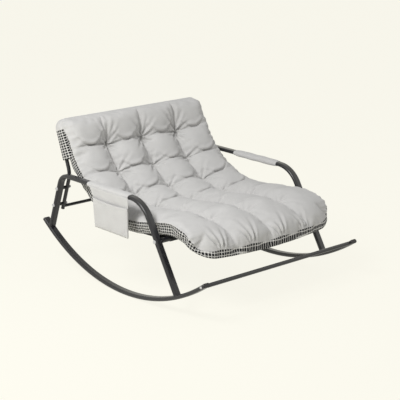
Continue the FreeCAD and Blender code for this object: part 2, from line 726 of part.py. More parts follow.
# Sling: one arc from the loop's top bar down to the seat, then straight to the seat bar
TOP_BAR = flat(LOOP_TOP_Y, size("loop_top_height"))
FRONT_BAR = flat(place("seat_bar_y"), size("seat_bar_height"))
half_sheet = size("sling_thickness") / 2
top_wrap = size("loop_diameter") / 2 + size("soft_gap") + half_sheet
front_wrap = size("seat_bar_diameter") / 2 + size("soft_gap") + half_sheet
hang_z = FRONT_BAR.z - size("sling_dip") + place("sling_radius")
hang_reach = math.sqrt((place("sling_radius") + top_wrap) ** 2 - (hang_z - TOP_BAR.z) ** 2)
HANG = flat(TOP_BAR.y - hang_reach, hang_z)
to_front = FRONT_BAR - HANG
sheet_turn = math.acos((place("sling_radius") - front_wrap) / to_front.Length)
sheet_leaves = angle_of(to_front) + math.degrees(sheet_turn)
top_contact = angle_of(HANG - TOP_BAR)
HALF_SLING = place("loop_x") - size("sling_side_gap")


def make_sling():
    """Sheet with a sleeve round each bar; the top sleeve is notched short of the loop's bent corners."""
    sheet = across(band([
        (TOP_BAR, top_wrap, top_contact - size("sleeve_wrap"), top_contact),
        (HANG, place("sling_radius"), top_contact - 180, sheet_leaves),
        (FRONT_BAR, front_wrap, sheet_leaves, sheet_leaves - size("sleeve_wrap")),
    ], size("sling_thickness")), HALF_SLING)
    notch_x = place("loop_x") - size("loop_corner_bend") - size("sling_notch_room")
    depth = size("loop_corner_bend") + size("loop_diameter") + size("sling_notch_room")
    behind_bar = TOP_BAR.y - HANG.y + depth
    for side in SIDES.values():
        notch = Part.makeBox(HALF_SLING - notch_x, behind_bar, 2 * depth,
                             Vector(min(side * notch_x, side * HALF_SLING), HANG.y, TOP_BAR.z - depth))
        sheet = sheet.cut(notch)
    return sheet


keep("sling", feature("sling", make_sling()))


# Cushion: its underside lies on the sling, passes over the seat bar and falls in front of it
HALF_CUSHION = place("leg_inner_x") - size("cushion_side_gap")
UNDER_RADIUS = place("sling_radius") - half_sheet - size("soft_gap")
over_bar = front_wrap + half_sheet + size("cushion_bar_room")
under_leaves = angle_of(to_front) + math.degrees(math.acos((UNDER_RADIUS + over_bar) / to_front.Length))
seat_down = turned(under_leaves)
bar_top = FRONT_BAR - seat_down * over_bar
FALL = bar_top + seat_down * size("cushion_front_bend")
under_top = size("cushion_top_angle") - 90
arc_length = math.radians(under_top - under_leaves) * UNDER_RADIUS
run_start = HANG + seat_down * UNDER_RADIUS
run_length = (bar_top - run_start).Length
fall_length = math.radians(size("cushion_front_turn")) * size("cushion_front_bend")
UNDER_LENGTH = arc_length + run_length + fall_length + size("cushion_front_lip")


def under_cushion(along):
    """Point of the underside and the direction away from the sling, at a distance from the top end."""
    if along < arc_length:
        outward = turned(under_top - math.degrees(along / UNDER_RADIUS))
        return HANG + outward * UNDER_RADIUS, outward * -1
    along -= arc_length
    if along < run_length:
        return run_start + (bar_top - run_start).normalize() * along, seat_down * -1
    along -= run_length
    turn = min(math.degrees(along / size("cushion_front_bend")), size("cushion_front_turn"))
    outward = turned(under_leaves + 180 + turn)
    lip = max(0, along - fall_length)
    return FALL + outward * size("cushion_front_bend") + outward.cross(Vector(-1, 0, 0)) * lip, outward


def cushion_half_width(along):
    """Half of the width across the cushion, which has rounded corners at both ends."""
    inset = 0
    for corner, from_end in ((size("cushion_top_corner"), along),
                             (size("cushion_front_corner"), UNDER_LENGTH - along)):
        inset += corner - math.sqrt(corner ** 2 - max(0, corner - from_end) ** 2)
    return HALF_CUSHION - inset


def cushion_section(along, edge, valley, crown, wall):
    """One slice across the cushion: flat below, swelled sides, four lobes; wall shrinks it to its inside."""
    foot, up = under_cushion(along)
    foot += up * wall
    edge, valley, crown = (height - 2 * wall for height in (edge, valley, crown))
    half_width = cushion_half_width(along) - 2 * wall
    inset = min(size("cushion_under_inset"), edge)
    columns = [k * HALF_CUSHION / 2 for k in (1, 0, -1)]

    def at(x, height):
        return foot + Vector(x, 0, 0) + up * height

    def side(sign):
        slope = Vector(inset, edge, 0)
        swell = Vector(edge, -inset, 0).normalize() * size("cushion_side_swell")
        middle = Vector(half_width - inset, 0, 0) + slope / 2 + swell
        corners = [(half_width - inset, 0), (middle.x, middle.y), (half_width, edge)]
        return [at(sign * x, height) for x, height in corners]

    tops = [(half_width, edge)] + [(x, valley) for x in columns] + [(-half_width, edge)]
    left, right = side(1), side(-1)
    edges = [Part.LineSegment(right[0], left[0]).toShape(), Part.Arc(*left).toShape()]
    for (x0, z0), (x1, z1) in zip(tops, tops[1:]):
        edges.append(Part.Arc(at(x0, z0), at((x0 + x1) / 2, crown), at(x1, z1)).toShape())
    edges.append(Part.Arc(*reversed(right)).toShape())
    return Part.Wire(edges)


def bay_start(bay):
    """Distance of a row of tufts from the top end: even rows down the back, longer ones on the seat."""
    back_bays = int(size("cushion_back_bays"))
    back_length = back_bays * size("cushion_back_pitch")
    if bay <= back_bays:
        return bay * size("cushion_back_pitch")
    seat_pitch = (UNDER_LENGTH - back_length) / (int(size("cushion_bays")) - back_bays)
    return back_length + (bay - back_bays) * seat_pitch


def cushion_slice(bay, share, wall):
    """One slice of a row of lobes; share runs from the tufts above them, 0, to the tufts below, 1."""
    bays = int(size("cushion_bays"))
    crease, crown = size("cushion_crease"), size("cushion_crown")
    low = (size("cushion_edge"), size("cushion_tuft"), crease)
    high = (size("cushion_edge"), crease, crown)
    puff = math.sin(math.pi * share) ** LOBE_FULLNESS
    if (bay == 0 and share < 0.5) or (bay == bays - 1 and share > 0.5):
        seam = size("cushion_end_thickness")
        low = (seam * END_EDGE, seam * END_VALLEY, seam)
        puff = math.sqrt(1 - (1 - 2 * min(share, 1 - share)) ** 2)
    heights = [a + puff * (b - a) for a, b in zip(low, high)]
    along = bay_start(bay) + share * (bay_start(bay + 1) - bay_start(bay))
    along = min(max(along, wall), UNDER_LENGTH - wall)
    return cushion_section(along, *heights, wall)


def cushion_form(wall):
    """Loft through slices of seven rows of lobes, closer together towards the tufts and the end seams."""
    bays = int(size("cushion_bays"))
    slices = [cushion_slice(bay, share, wall) for bay in range(bays) for share in LOBE_SHARES]
    slices.append(cushion_slice(bays - 1, 1, wall))
    return Part.makeLoft(slices, True, True)


# heights at the end seams as parts of their crown, how full a lobe is, and where its slices stand
END_EDGE, END_VALLEY = 0.5, 0.8
LOBE_FULLNESS = 0.6
LOBE_SHARES = (0, 0.06, 0.22, 0.5, 0.78, 0.94)
# the cover alone is made; its inside, which loose fibre fills, is left empty
cushion_cover = cushion_form(0).cut(cushion_form(size("cushion_cover_wall")))
keep("cushion", feature("cushion", cushion_cover))


# Hood: a flat pocket behind the cushion's top that slips over the back loop
HOOD_UP = turned(90 - size("loop_lean"))
HOOD_BACK = turned(-size("loop_lean"))
BAR_REACH = size("loop_diameter") / 2 + size("sling_thickness") + size("hood_room")


def hood_outline(reach, front_radius, height):
    """Side-plane outline from the cushion's back over the top bar to a panel behind the loop."""
    back_top = TOP_BAR + HOOD_BACK * reach
    back_low = back_top - HOOD_UP * height
    top_angle = angle_of(TOP_BAR - HANG) + math.degrees(reach / front_radius)
    low_angle = math.degrees(math.asin((back_low.z - HANG.z) / front_radius))
    front_low, front_middle, front_top = (
        HANG + turned(a) * front_radius for a in (low_angle, (low_angle + top_angle) / 2, top_angle))
    crown = TOP_BAR + HOOD_UP * reach
    shoulder = TOP_BAR + (HOOD_UP + HOOD_BACK).normalize() * reach
    return Part.Face(Part.Wire([
        Part.Arc(front_low, front_middle, front_top).toShape(),
        Part.LineSegment(front_top, crown).toShape(),
        Part.Arc(crown, shoulder, back_top).toShape(),
        Part.LineSegment(back_top, back_low).toShape(),
        Part.LineSegment(back_low, front_low).toShape()]))


def hood_front_view(half_width, top, corner):
    """Prism of the hood's outline seen square to the loop: straight sides and two rounded top corners."""
    low = -2 * size("hood_height")
    deep = place("sling_radius")

    def at(x, rise):
        return TOP_BAR + Vector(x, 0, 0) + HOOD_UP * rise - HOOD_BACK * deep

    slack = corner * (1 - math.sqrt(0.5))
    edges = [Part.LineSegment(at(-half_width, low), at(half_width, low)).toShape(),
             Part.LineSegment(at(half_width, low), at(half_width, top - corner)).toShape(),
             Part.Arc(at(half_width, top - corner), at(half_width - slack, top - slack),
                      at(half_width - corner, top)).toShape(),
             Part.LineSegment(at(half_width - corner, top), at(corner - half_width, top)).toShape(),
             Part.Arc(at(corner - half_width, top), at(slack - half_width, top - slack),
                      at(-half_width, top - corner)).toShape(),
             Part.LineSegment(at(-half_width, top - corner), at(-half_width, low)).toShape()]
    return Part.Face(Part.Wire(edges)).extrude(HOOD_BACK * 2 * deep)


def make_hood():
    cloth = size("hood_thickness")
    behind_cushion = UNDER_RADIUS + size("soft_gap")
    half_width, corner = HALF_CUSHION + size("hood_side_room"), size("hood_corner_round")
    outer = across(hood_outline(BAR_REACH + cloth, behind_cushion, size("hood_height")), half_width)
    outer = outer.common(hood_front_view(half_width, BAR_REACH + cloth, corner))
    # the room inside is open to the cushion in front and to the loop's legs below
    room = across(hood_outline(BAR_REACH, behind_cushion - cloth, size("hood_height") + cloth), half_width)
    room = room.common(hood_front_view(half_width - cloth, BAR_REACH, corner - cloth))
    return outer.cut(room)


keep("cushion_hood", feature("cushion_hood", make_hood()))


# Arm pads: a foam sleeve on each arm inside a fabric cover
def make_sleeve(label, side, outer_less, inner, length_less):
    """Flat-oval sleeve along the arm; outer_less is how far it lies inside the pad's outside."""
    body = doc.addObject("PartDesign::Body", label)
    section = new_sketch(body, label + "_section", "XZ_Plane")
    middle = centre_point(section, "0", "0")
    outer = ["%s - 2 * (%s)" % (whole, outer_less) for whole in ("Sheet.pad_width", "Sheet.pad_height")]
    draw_oval(section, *outer, middle)
    draw_oval(section, *inner, middle)
    pad_both_ways(body, label + "_pad", section, "Sheet.pad_length - 2 * (%s)" % length_less)
    bind(body, Placement__Base__x="%d * Sheet.frame_half_spacing" % side,
         Placement__Base__y="Sheet.pad_front_y + Sheet.pad_length / 2", Placement__Base__z="Sheet.arm_height")
    return keep(label, body)


COVER_INNER = "Sheet.pad_cover_thickness"
FOAM_OUTER = "Sheet.pad_cover_thickness + Sheet.soft_gap"
for side_name, side in SIDES.items():
    make_sleeve(side_name + "_arm_pad_cover", side, "0",
                ("Sheet.pad_width - 2 * %s" % COVER_INNER, "Sheet.pad_height - 2 * %s" % COVER_INNER), "0")
    make_sleeve(side_name + "_arm_pad_foam", side, FOAM_OUTER,
                ("Sheet.leg_oval_width + 2 * Sheet.soft_gap", "Sheet.oval_thickness + 2 * Sheet.soft_gap"),
                COVER_INNER)


# Side pocket: a backing panel that hangs from the right arm pad, with an open-topped pouch on it
POCKET_BACK_X = -(size("frame_half_spacing") + size("pad_width") / 2 + size("pocket_hinge_gap"))
POCKET_TOP_Z = size("arm_height")
POCKET_FRONT_Y = size("pocket_front_y")


def pocket_panel(start_x, depth, inset, top, bottom):
    """Prism of the pocket's outline between two heights, inset at its front and back edges."""
    mouth = POCKET_TOP_Z - size("pocket_mouth_drop")
    foot = POCKET_TOP_Z - size("pocket_drop")
    back = POCKET_FRONT_Y + size("pocket_length")
    heights = [foot, mouth, POCKET_TOP_Z]
    backs = [back - size("pocket_foot_taper"), back, back + size("pocket_top_spread")]

    def back_at(height):
        low = 0 if height < mouth else 1
        share = (height - heights[low]) / (heights[low + 1] - heights[low])
        return backs[low] + share * (backs[low + 1] - backs[low]) - inset

    rear = [bottom] + [mouth] * (bottom < mouth < top) + [top]
    outline = [flat(POCKET_FRONT_Y + inset, top, start_x), flat(POCKET_FRONT_Y + inset, bottom, start_x)]
    outline += [flat(back_at(height), height, start_x) for height in rear]
    return Part.Face(Part.makePolygon(outline + outline[:1])).extrude(Vector(-depth, 0, 0))


def make_pocket():
    cloth, room = size("pocket_cloth"), size("pocket_room")
    foot, mouth = POCKET_TOP_Z - size("pocket_drop"), POCKET_TOP_Z - size("pocket_mouth_drop")
    backing = pocket_panel(POCKET_BACK_X, cloth, 0, POCKET_TOP_Z, foot)
    pouch_x = POCKET_BACK_X - cloth
    pouch = pocket_panel(pouch_x, room + cloth, 0, mouth, foot)
    rounded = [e for e in pouch.Edges if e.BoundBox.XMax < pouch_x - room and e.BoundBox.ZMin < mouth - 1]
    pouch = pouch.makeFillet(size("pocket_round"), rounded)
    hollow = pocket_panel(pouch_x, room, cloth, mouth, foot + cloth)
    return backing.fuse(pouch.cut(hollow)).removeSplitter()


keep("side_pocket", feature("side_pocket", make_pocket()))

# Check and write every sub-part
doc.recompute()
for thing in doc.Objects:
    if "Invalid" in thing.State or "Error" in thing.State:
        raise ValueError("%s failed: %s" % (thing.Name, thing.State))
for label, thing in finished.items():
    if thing.Shape.isNull() or not thing.Shape.isValid() or not thing.Shape.Solids:
        raise ValueError("%s has no valid solid" % label)
os.makedirs("parts", exist_ok=True)
for label, thing in finished.items():
    thing.Shape.exportStep("parts/%s.step" % label)
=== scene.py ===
"""Rocking lounge chair: a dark tube frame on curved runners, a hung sling, a long tufted cushion hooded over
the back loop, padded arms and a cloth side pocket."""
import json
import math
import bpy
import numpy as np
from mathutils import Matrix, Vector


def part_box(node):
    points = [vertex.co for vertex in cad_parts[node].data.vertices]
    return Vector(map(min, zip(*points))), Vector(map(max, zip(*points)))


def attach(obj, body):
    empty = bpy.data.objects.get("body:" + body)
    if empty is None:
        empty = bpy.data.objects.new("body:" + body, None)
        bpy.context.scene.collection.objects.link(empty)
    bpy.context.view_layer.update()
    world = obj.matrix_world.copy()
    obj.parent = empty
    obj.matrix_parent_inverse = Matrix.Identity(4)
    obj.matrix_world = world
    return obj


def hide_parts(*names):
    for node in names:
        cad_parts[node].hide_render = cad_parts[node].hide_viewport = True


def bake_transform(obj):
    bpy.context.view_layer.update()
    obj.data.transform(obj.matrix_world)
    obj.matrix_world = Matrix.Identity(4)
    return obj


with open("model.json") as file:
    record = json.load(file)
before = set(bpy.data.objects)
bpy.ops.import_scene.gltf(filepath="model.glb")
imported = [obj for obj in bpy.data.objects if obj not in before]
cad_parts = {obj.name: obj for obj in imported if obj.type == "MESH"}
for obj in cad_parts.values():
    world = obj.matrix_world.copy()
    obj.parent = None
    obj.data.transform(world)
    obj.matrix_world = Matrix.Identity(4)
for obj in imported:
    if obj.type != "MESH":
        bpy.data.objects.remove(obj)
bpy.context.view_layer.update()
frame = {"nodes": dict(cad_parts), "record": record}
scene = bpy.context.scene


# Places shared by the soft pieces, in metres, on the frame's own bars
def box_middle(node):
    low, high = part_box(node)
    return [(a + b) / 2 for a, b in zip(low, high)]


SEAT_BAR_Y, SEAT_BAR_Z = box_middle("front_seat_bar")[1:]
SEAT_BAR_RADIUS = (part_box("front_seat_bar")[1][2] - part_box("front_seat_bar")[0][2]) / 2
LOOP_RADIUS = 0.0095
LOOP_LEAN = math.radians(20)
TOP_BAR_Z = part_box("back_loop")[1][2] - LOOP_RADIUS
TOP_BAR_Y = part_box("back_loop")[1][1] - LOOP_RADIUS
SLING_RADIUS = 0.570
SLING_DIP = 0.026
SLING_HALF = 0.410
CLOTH = 0.002
SOFT_GAP = 0.0003
HANG_Z = SEAT_BAR_Z - SLING_DIP + SLING_RADIUS
TOP_WRAP = LOOP_RADIUS + SOFT_GAP + CLOTH / 2
HANG_Y = TOP_BAR_Y - math.sqrt((SLING_RADIUS + TOP_WRAP) ** 2 - (HANG_Z - TOP_BAR_Z) ** 2)


def turned(degrees):
    """Unit direction in the side plane, (y, z), at an angle from +Y towards +Z."""
    return np.array([math.cos(math.radians(degrees)), math.sin(math.radians(degrees))])


# Underside of the cushion: an arc on the sling, a straight run over the seat bar, then a fall in front
HANG = np.array([HANG_Y, HANG_Z])
SEAT_BAR = np.array([SEAT_BAR_Y, SEAT_BAR_Z])
UNDER_RADIUS = SLING_RADIUS - CLOTH / 2 - SOFT_GAP
BAR_ROOM = 0.0025
OVER_BAR = SEAT_BAR_RADIUS + SOFT_GAP + CLOTH + BAR_ROOM
TOP_ANGLE = -12.0
FRONT_BEND = 0.260
FRONT_TURN = 40.0
FRONT_LIP = 0.090
to_bar = SEAT_BAR - HANG
bar_distance = float(np.hypot(*to_bar))
LEAVE_ANGLE = math.degrees(math.atan2(to_bar[1], to_bar[0])
                           + math.acos((UNDER_RADIUS + OVER_BAR) / bar_distance))
ARC = math.radians(TOP_ANGLE - LEAVE_ANGLE) * UNDER_RADIUS
RUN_START = HANG + turned(LEAVE_ANGLE) * UNDER_RADIUS
BAR_TOP = SEAT_BAR - turned(LEAVE_ANGLE) * OVER_BAR
RUN = float(np.hypot(*(BAR_TOP - RUN_START)))
FALL_MIDDLE = BAR_TOP + turned(LEAVE_ANGLE) * FRONT_BEND
FALL = math.radians(FRONT_TURN) * FRONT_BEND
LENGTH = ARC + RUN + FALL + FRONT_LIP


def underside(along):
    """Point (y, z) of the cushion's underside and the way out of the sling, at a distance from its top."""
    if along < ARC:
        out = turned(TOP_ANGLE - math.degrees(along / UNDER_RADIUS))
        return HANG + out * UNDER_RADIUS, -out
    along -= ARC
    if along < RUN:
        return RUN_START + (BAR_TOP - RUN_START) * along / RUN, -turned(LEAVE_ANGLE)
    along -= RUN
    out = turned(LEAVE_ANGLE + 180 + math.degrees(min(along, FALL) / FRONT_BEND))
    down = np.array([-out[1], out[0]])
    return FALL_MIDDLE + out * FRONT_BEND + down * max(0, along - FALL), out


# Small modelling helpers
def deselect():
    if bpy.context.object and bpy.context.object.mode != "OBJECT":
        bpy.ops.object.mode_set(mode="OBJECT")
    bpy.ops.object.select_all(action="DESELECT")


def pick(piece):
    deselect()
    piece.select_set(True)
    bpy.context.view_layer.objects.active = piece


def cloth_grid(name, across, along, place, flat):
    """Grid whose shares a across and b along go to place(a, b), with a UV map in metres of flat cloth."""
    deselect()
    bpy.ops.mesh.primitive_grid_add(x_subdivisions=across, y_subdivisions=along, size=2)
    piece = bpy.context.object
    piece.name = piece.data.name = name
    mesh = piece.data
    shares = [((v.co.x + 1) / 2, (v.co.y + 1) / 2) for v in mesh.vertices]
    uv = mesh.uv_layers[0] if mesh.uv_layers else mesh.uv_layers.new()
    uv.name = "cloth"
    for loop in mesh.loops:
        a, b = shares[loop.vertex_index]
        uv.data[loop.index].uv = (a * flat[0], b * flat[1])
    for vertex, (a, b) in zip(mesh.vertices, shares):
        vertex.co = place(a, b)
    bpy.ops.object.shade_smooth()
    return piece


def apply_modifier(piece, kind, **settings):
    pick(piece)
    modifier = piece.modifiers.new(kind.lower(), kind)
    for key, value in settings.items():
        setattr(modifier, key, value)
    bpy.ops.object.modifier_apply(modifier=modifier.name)


def recalculate(piece):
    pick(piece)
    bpy.ops.object.mode_set(mode="EDIT")
    bpy.ops.mesh.select_all(action="SELECT")
    bpy.ops.mesh.normals_make_consistent(inside=False)
    bpy.ops.object.mode_set(mode="OBJECT")


# Materials
# a Mix node's factor, two colours and result, where it mixes colours
FACTOR, FIRST, SECOND, RESULT = 0, 6, 7, 2
# threads of both cloths, drawn coarser than the real 0.8 mm so that they show
THREAD = 0.0024


def linear(hex_colour):
    """sRGB hex to linear RGBA."""
    parts = [int(hex_colour[i:i + 2], 16) / 255 for i in (1, 3, 5)]
    return [p / 12.92 if p <= 0.04045 else ((p + 0.055) / 1.055) ** 2.4 for p in parts] + [1.0]


def add(tree, kind, links=(), **settings):
    """One node with its settings; links are (input, value or socket) pairs."""
    node = tree.nodes.new(kind)
    for key, value in settings.items():
        setattr(node, key, value)
    for name, value in links:
        if isinstance(value, bpy.types.NodeSocket):
            tree.links.new(value, node.inputs[name])
        else:
            node.inputs[name].default_value = value
    return node


def new_material(name, colour, roughness, metallic=0.0, **shader):
    material = bpy.data.materials.new(name)
    material.use_nodes = True
    surface = material.node_tree.nodes["Principled BSDF"]
    surface.inputs["Base Color"].default_value = linear(colour)
    surface.inputs["Roughness"].default_value = roughness
    surface.inputs["Metallic"].default_value = metallic
    for key, value in shader.items():
        surface.inputs[key].default_value = value
    return material, material.node_tree, surface


def weave_height(tree, coordinates, thread):
    """Height of a plain weave with one thread each way every thread metres."""
    turns = 2 * math.pi / thread
    apart = add(tree, "ShaderNodeSeparateXYZ", [("Vector", coordinates)])
    waves = []
    for axis in ("X", "Y"):
        angle = add(tree, "ShaderNodeMath", [(0, apart.outputs[axis]), (1, turns)], operation="MULTIPLY")
        waves.append(add(tree, "ShaderNodeMath", [(0, angle.outputs[0])], operation="SINE").outputs[0])
    return add(tree, "ShaderNodeMath", [(0, waves[0]), (1, waves[1])], operation="MULTIPLY").outputs[0]


def make_canvas():
    """Light grey woven polyester canvas: matte, faintly mottled, with a fine weave and a soft sheen."""
    finish = {"Sheen Weight": 0.25, "Sheen Roughness": 0.5, "Specular IOR Level": 0.25}
    material, tree, surface = new_material("grey_polyester_canvas", "#D0CFCD", 0.9, **finish)
    cloth = add(tree, "ShaderNodeUVMap", uv_map="cloth").outputs[0]
    # slow mottling over about 60 mm, from uneven dye and handling
    mottle = add(tree, "ShaderNodeTexNoise", [("Vector", cloth), ("Scale", 1 / 0.06), ("Detail", 3.0)])
    tones = []
    # both tones are mottled; the dull one is painted shade for the thread gaps and the bright one the lit
    # crowns
    for dull, bright in (("#BEBDBB", "#CCCBC9"), ("#C8C7C5", "#D6D5D3")):
        tone = [(FACTOR, mottle.outputs["Fac"]), (FIRST, linear(dull)), (SECOND, linear(bright))]
        tones.append(add(tree, "ShaderNodeMix", tone, data_type="RGBA").outputs[RESULT])
    # painted shade: the gaps between threads are darker than their crowns
    weave = weave_height(tree, cloth, THREAD)
    painted_weave_shade = add(tree, "ShaderNodeMath", [(0, weave), (1, 0.5), (2, 0.5)], operation="MULTIPLY_ADD").outputs[0]
    woven = add(tree, "ShaderNodeMix", [(FACTOR, painted_weave_shade), (FIRST, tones[0]), (SECOND, tones[1])],
                data_type="RGBA")
    tree.links.new(woven.outputs[RESULT], surface.inputs["Base Color"])
    bump = add(tree, "ShaderNodeBump", [("Strength", 0.25), ("Distance", 0.0006), ("Height", weave)])
    tree.links.new(bump.outputs[0], surface.inputs["Normal"])
    return material


def make_check():
    """Black and white woven check: squares of black, of white, and of the two threads mixed between them."""
    finish = {"Sheen Weight": 0.15, "Specular IOR Level": 0.2}
    material, tree, surface = new_material("black_white_check_cloth", "#808080", 0.9, **finish)
    cloth = add(tree, "ShaderNodeUVMap", uv_map="cloth").outputs[0]
    apart = add(tree, "ShaderNodeSeparateXYZ", [("Vector", cloth)])
    # one repeat every 13 mm, three quarters of it black
    repeat, black_share = 0.013, 0.76
    stripes = []
    for axis in ("X", "Y"):
        turn = add(tree, "ShaderNodeMath", [(0, apart.outputs[axis]), (1, repeat)], operation="DIVIDE")
        part = add(tree, "ShaderNodeMath", [(0, turn.outputs[0])], operation="FRACT")
        dark = add(tree, "ShaderNodeMath", [(0, part.outputs[0]), (1, black_share)], operation="LESS_THAN")
        stripes.append(dark.outputs[0])
    both = add(tree, "ShaderNodeMath", [(0, stripes[0]), (1, stripes[1])], operation="MULTIPLY").outputs[0]
    either = add(tree, "ShaderNodeMath", [(0, stripes[0]), (1, stripes[1])], operation="MAXIMUM").outputs[0]
    tone = [(FACTOR, either), (FIRST, linear("#EDECE8")), (SECOND, linear("#CFCECA"))]
    pale = add(tree, "ShaderNodeMix", tone, data_type="RGBA").outputs[RESULT]
    checked = add(tree, "ShaderNodeMix", [(FACTOR, both), (FIRST, pale), (SECOND, linear("#1B1B1D"))],
                  data_type="RGBA")
    tree.links.new(checked.outputs[RESULT], surface.inputs["Base Color"])
    weave = weave_height(tree, cloth, THREAD)
    bump = add(tree, "ShaderNodeBump", [("Strength", 0.25), ("Distance", 0.0006), ("Height", weave)])
    tree.links.new(bump.outputs[0], surface.inputs["Normal"])
    return material


def make_sling_mesh():
    """Black coated polyester mesh: an open basket weave with a dull plastic gleam."""
    finish = {"Specular IOR Level": 0.35}
    material, tree, surface = new_material("black_coated_mesh", "#161618", 0.6, **finish)
    cloth = add(tree, "ShaderNodeUVMap", uv_map="cloth").outputs[0]
    # yarns 4 mm apart, drawn coarser than the real 1.5 mm so that they show
    weave = weave_height(tree, cloth, 0.004)
    # painted shade: the gaps between yarns are darker than their crowns
    painted_weave_shade = add(tree, "ShaderNodeMath", [(0, weave), (1, 0.5), (2, 0.5)], operation="MULTIPLY_ADD").outputs[0]
    tone = [(FACTOR, painted_weave_shade), (FIRST, linear("#0C0C0D")), (SECOND, linear("#242427"))]
    yarn_and_gap_shade = add(tree, "ShaderNodeMix", tone, data_type="RGBA")
    tree.links.new(yarn_and_gap_shade.outputs[RESULT], surface.inputs["Base Color"])
    bump = add(tree, "ShaderNodeBump", [("Strength", 0.5), ("Distance", 0.001), ("Height", weave)])
    tree.links.new(bump.outputs[0], surface.inputs["Normal"])
    return material


def make_powder_coat():
    """Charcoal powder-coated steel: satin, with a fine orange-peel texture and faint lighter specks."""
    finish = {"Specular IOR Level": 0.4, "Coat Weight": 0.2, "Coat Roughness": 0.22}
    material, tree, surface = new_material("charcoal_powder_coat", "#1C1C1F", 0.38, **finish)
    place = add(tree, "ShaderNodeTexCoord").outputs["Object"]
    # orange peel about 1.5 mm across, and specks of about 4 mm
    peel = add(tree, "ShaderNodeTexNoise", [("Vector", place), ("Scale", 1 / 0.0015), ("Detail", 2.0)])
    speck = add(tree, "ShaderNodeTexNoise", [("Vector", place), ("Scale", 1 / 0.004), ("Detail", 4.0)])
    tone = [(FACTOR, speck.outputs["Fac"]), (FIRST, linear("#19191C")), (SECOND, linear("#26262B"))]
    specked = add(tree, "ShaderNodeMix", tone, data_type="RGBA")
    tree.links.new(specked.outputs[RESULT], surface.inputs["Base Color"])
    peel = peel.outputs["Fac"]
    rough = add(tree, "ShaderNodeMapRange", [("Value", peel), ("To Min", 0.26), ("To Max", 0.4)])
    tree.links.new(rough.outputs[0], surface.inputs["Roughness"])
    bump = add(tree, "ShaderNodeBump", [("Strength", 0.12), ("Distance", 0.0004), ("Height", peel)])
    tree.links.new(bump.outputs[0], surface.inputs["Normal"])
    return material


def make_plated(name, dark, bright, roughness, grain):
    """Plated steel: bright metal whose tone and gloss waver with the grain left by turning or plating."""
    material, tree, surface = new_material(name, bright, roughness, metallic=1.0)
    place = add(tree, "ShaderNodeTexCoord").outputs["Object"]
    streak = add(tree, "ShaderNodeTexNoise", [("Vector", place), ("Scale", 1 / grain), ("Detail", 3.0)])
    tone = [(FACTOR, streak.outputs["Fac"]), (FIRST, linear(dark)), (SECOND, linear(bright))]
    uneven = add(tree, "ShaderNodeMix", tone, data_type="RGBA")
    tree.links.new(uneven.outputs[RESULT], surface.inputs["Base Color"])
    rough = add(tree, "ShaderNodeMapRange", [("Value", streak.outputs["Fac"]), ("To Min", roughness * 0.7),
                                             ("To Max", roughness * 1.4)])
    tree.links.new(rough.outputs[0], surface.inputs["Roughness"])
    return material


def make_plastic(name, dark, bright, roughness):
    """Moulded polyethylene: matte with a fine spark-eroded grain and slight unevenness of colour."""
    material, tree, surface = new_material(name, bright, roughness)
    place = add(tree, "ShaderNodeTexCoord").outputs["Object"]
    # mould grain about 0.8 mm across
    grain = add(tree, "ShaderNodeTexNoise", [("Vector", place), ("Scale", 1 / 0.0008), ("Detail", 2.0)])
    tone = [(FACTOR, grain.outputs["Fac"]), (FIRST, linear(dark)), (SECOND, linear(bright))]
    uneven = add(tree, "ShaderNodeMix", tone, data_type="RGBA")
    tree.links.new(uneven.outputs[RESULT], surface.inputs["Base Color"])
    bump = add(tree, "ShaderNodeBump", [("Strength", 0.15), ("Distance", 0.0003),
                                        ("Height", grain.outputs["Fac"])])
    tree.links.new(bump.outputs[0], surface.inputs["Normal"])
    return material


CANVAS = make_canvas()
CHECK = make_check()
SLING_MESH = make_sling_mesh()
NODE_MATERIALS = {
    "powder_coat": make_powder_coat(),
    "chrome_bolts": make_plated("chromed_steel", "#B8B8BC", "#E6E6EA", 0.14, 0.006),
    "zinc_steel": make_plated("zinc_plated_steel", "#8E8E92", "#BDBDC2", 0.34, 0.003),
    "black_plastic": make_plastic("black_polyethylene", "#141416", "#202023", 0.55),
    "pale_plastic": make_plastic("pale_polyethylene", "#B4B4B4", "#CDCDCD", 0.55),
}
for part in frame["record"]["subparts"]:
    if part["material_slot"] in NODE_MATERIALS:
        node = frame["nodes"][part["node"]]
        node.data.materials.clear()
        node.data.materials.append(NODE_MATERIALS[part["material_slot"]])


# Cushion: two cloths sewn round a band, tufted in three columns, swelled by a cloth simulation
HALF = 0.447
TOP_CORNER = 0.045
FRONT_CORNER = 0.105
ROWS, BACK_ROWS, BACK_PITCH = 7, 4, 0.175
SEAT_PITCH = (LENGTH - BACK_ROWS * BACK_PITCH) / (ROWS - BACK_ROWS)
ROW_STARTS = [min(k, BACK_ROWS) * BACK_PITCH + max(0, k - BACK_ROWS) * SEAT_PITCH for k in range(ROWS + 1)]
COLUMNS = (-HALF / 2, 0.0, HALF / 2)
TUFT_ROWS = ROW_STARTS[1:-1]
TUFT, LONG_CREASE, CROSS_CREASE, CROWN = 0.034, 0.048, 0.060, 0.088
SIDE_SEAM, TOP_SEAM, FRONT_SEAM = 0.064, 0.024, 0.029
UNDER_INSET = 0.014
FRONT_THINNING = 0.26
CORNER_THINNING = 0.14
# the base reaches past the canvas at the front, so that the band leans back and shows there
FRONT_REACH = 0.020
FRONT_SET_BACK = 0.002
# the front edge bows forward between its corners
FRONT_BOW = 0.034
CREASE_FADE = 0.7
EAR_DROP = 0.052
# the seams reach their side height this far from the ends, and the canvas falls to them over this width
SEAM_RUN = 0.14
SEAM_FALL, CORNER_FALL = 0.078, 0.050
# squareness of the puffs across and along
RIDGE_POWER, ROLL_POWER = 0.8, 0.7
# shares of the half width and of the length from which creases fade, puffs thin and the fall widens
FADE_FROM = 0.62
THINS_FROM, THINS_OVER = 0.62, 0.30
WIDENS_FROM, WIDENS_OVER = 0.75, 0.20
HEAD_FADE = 1.15
FRONT_ZONE = 0.25
END_INSET = 0.006
BASE_LIFT = 0.0008
TUFT_RADIUS = 0.009
HOOD_HOLD = 0.2
CELL = 0.0125


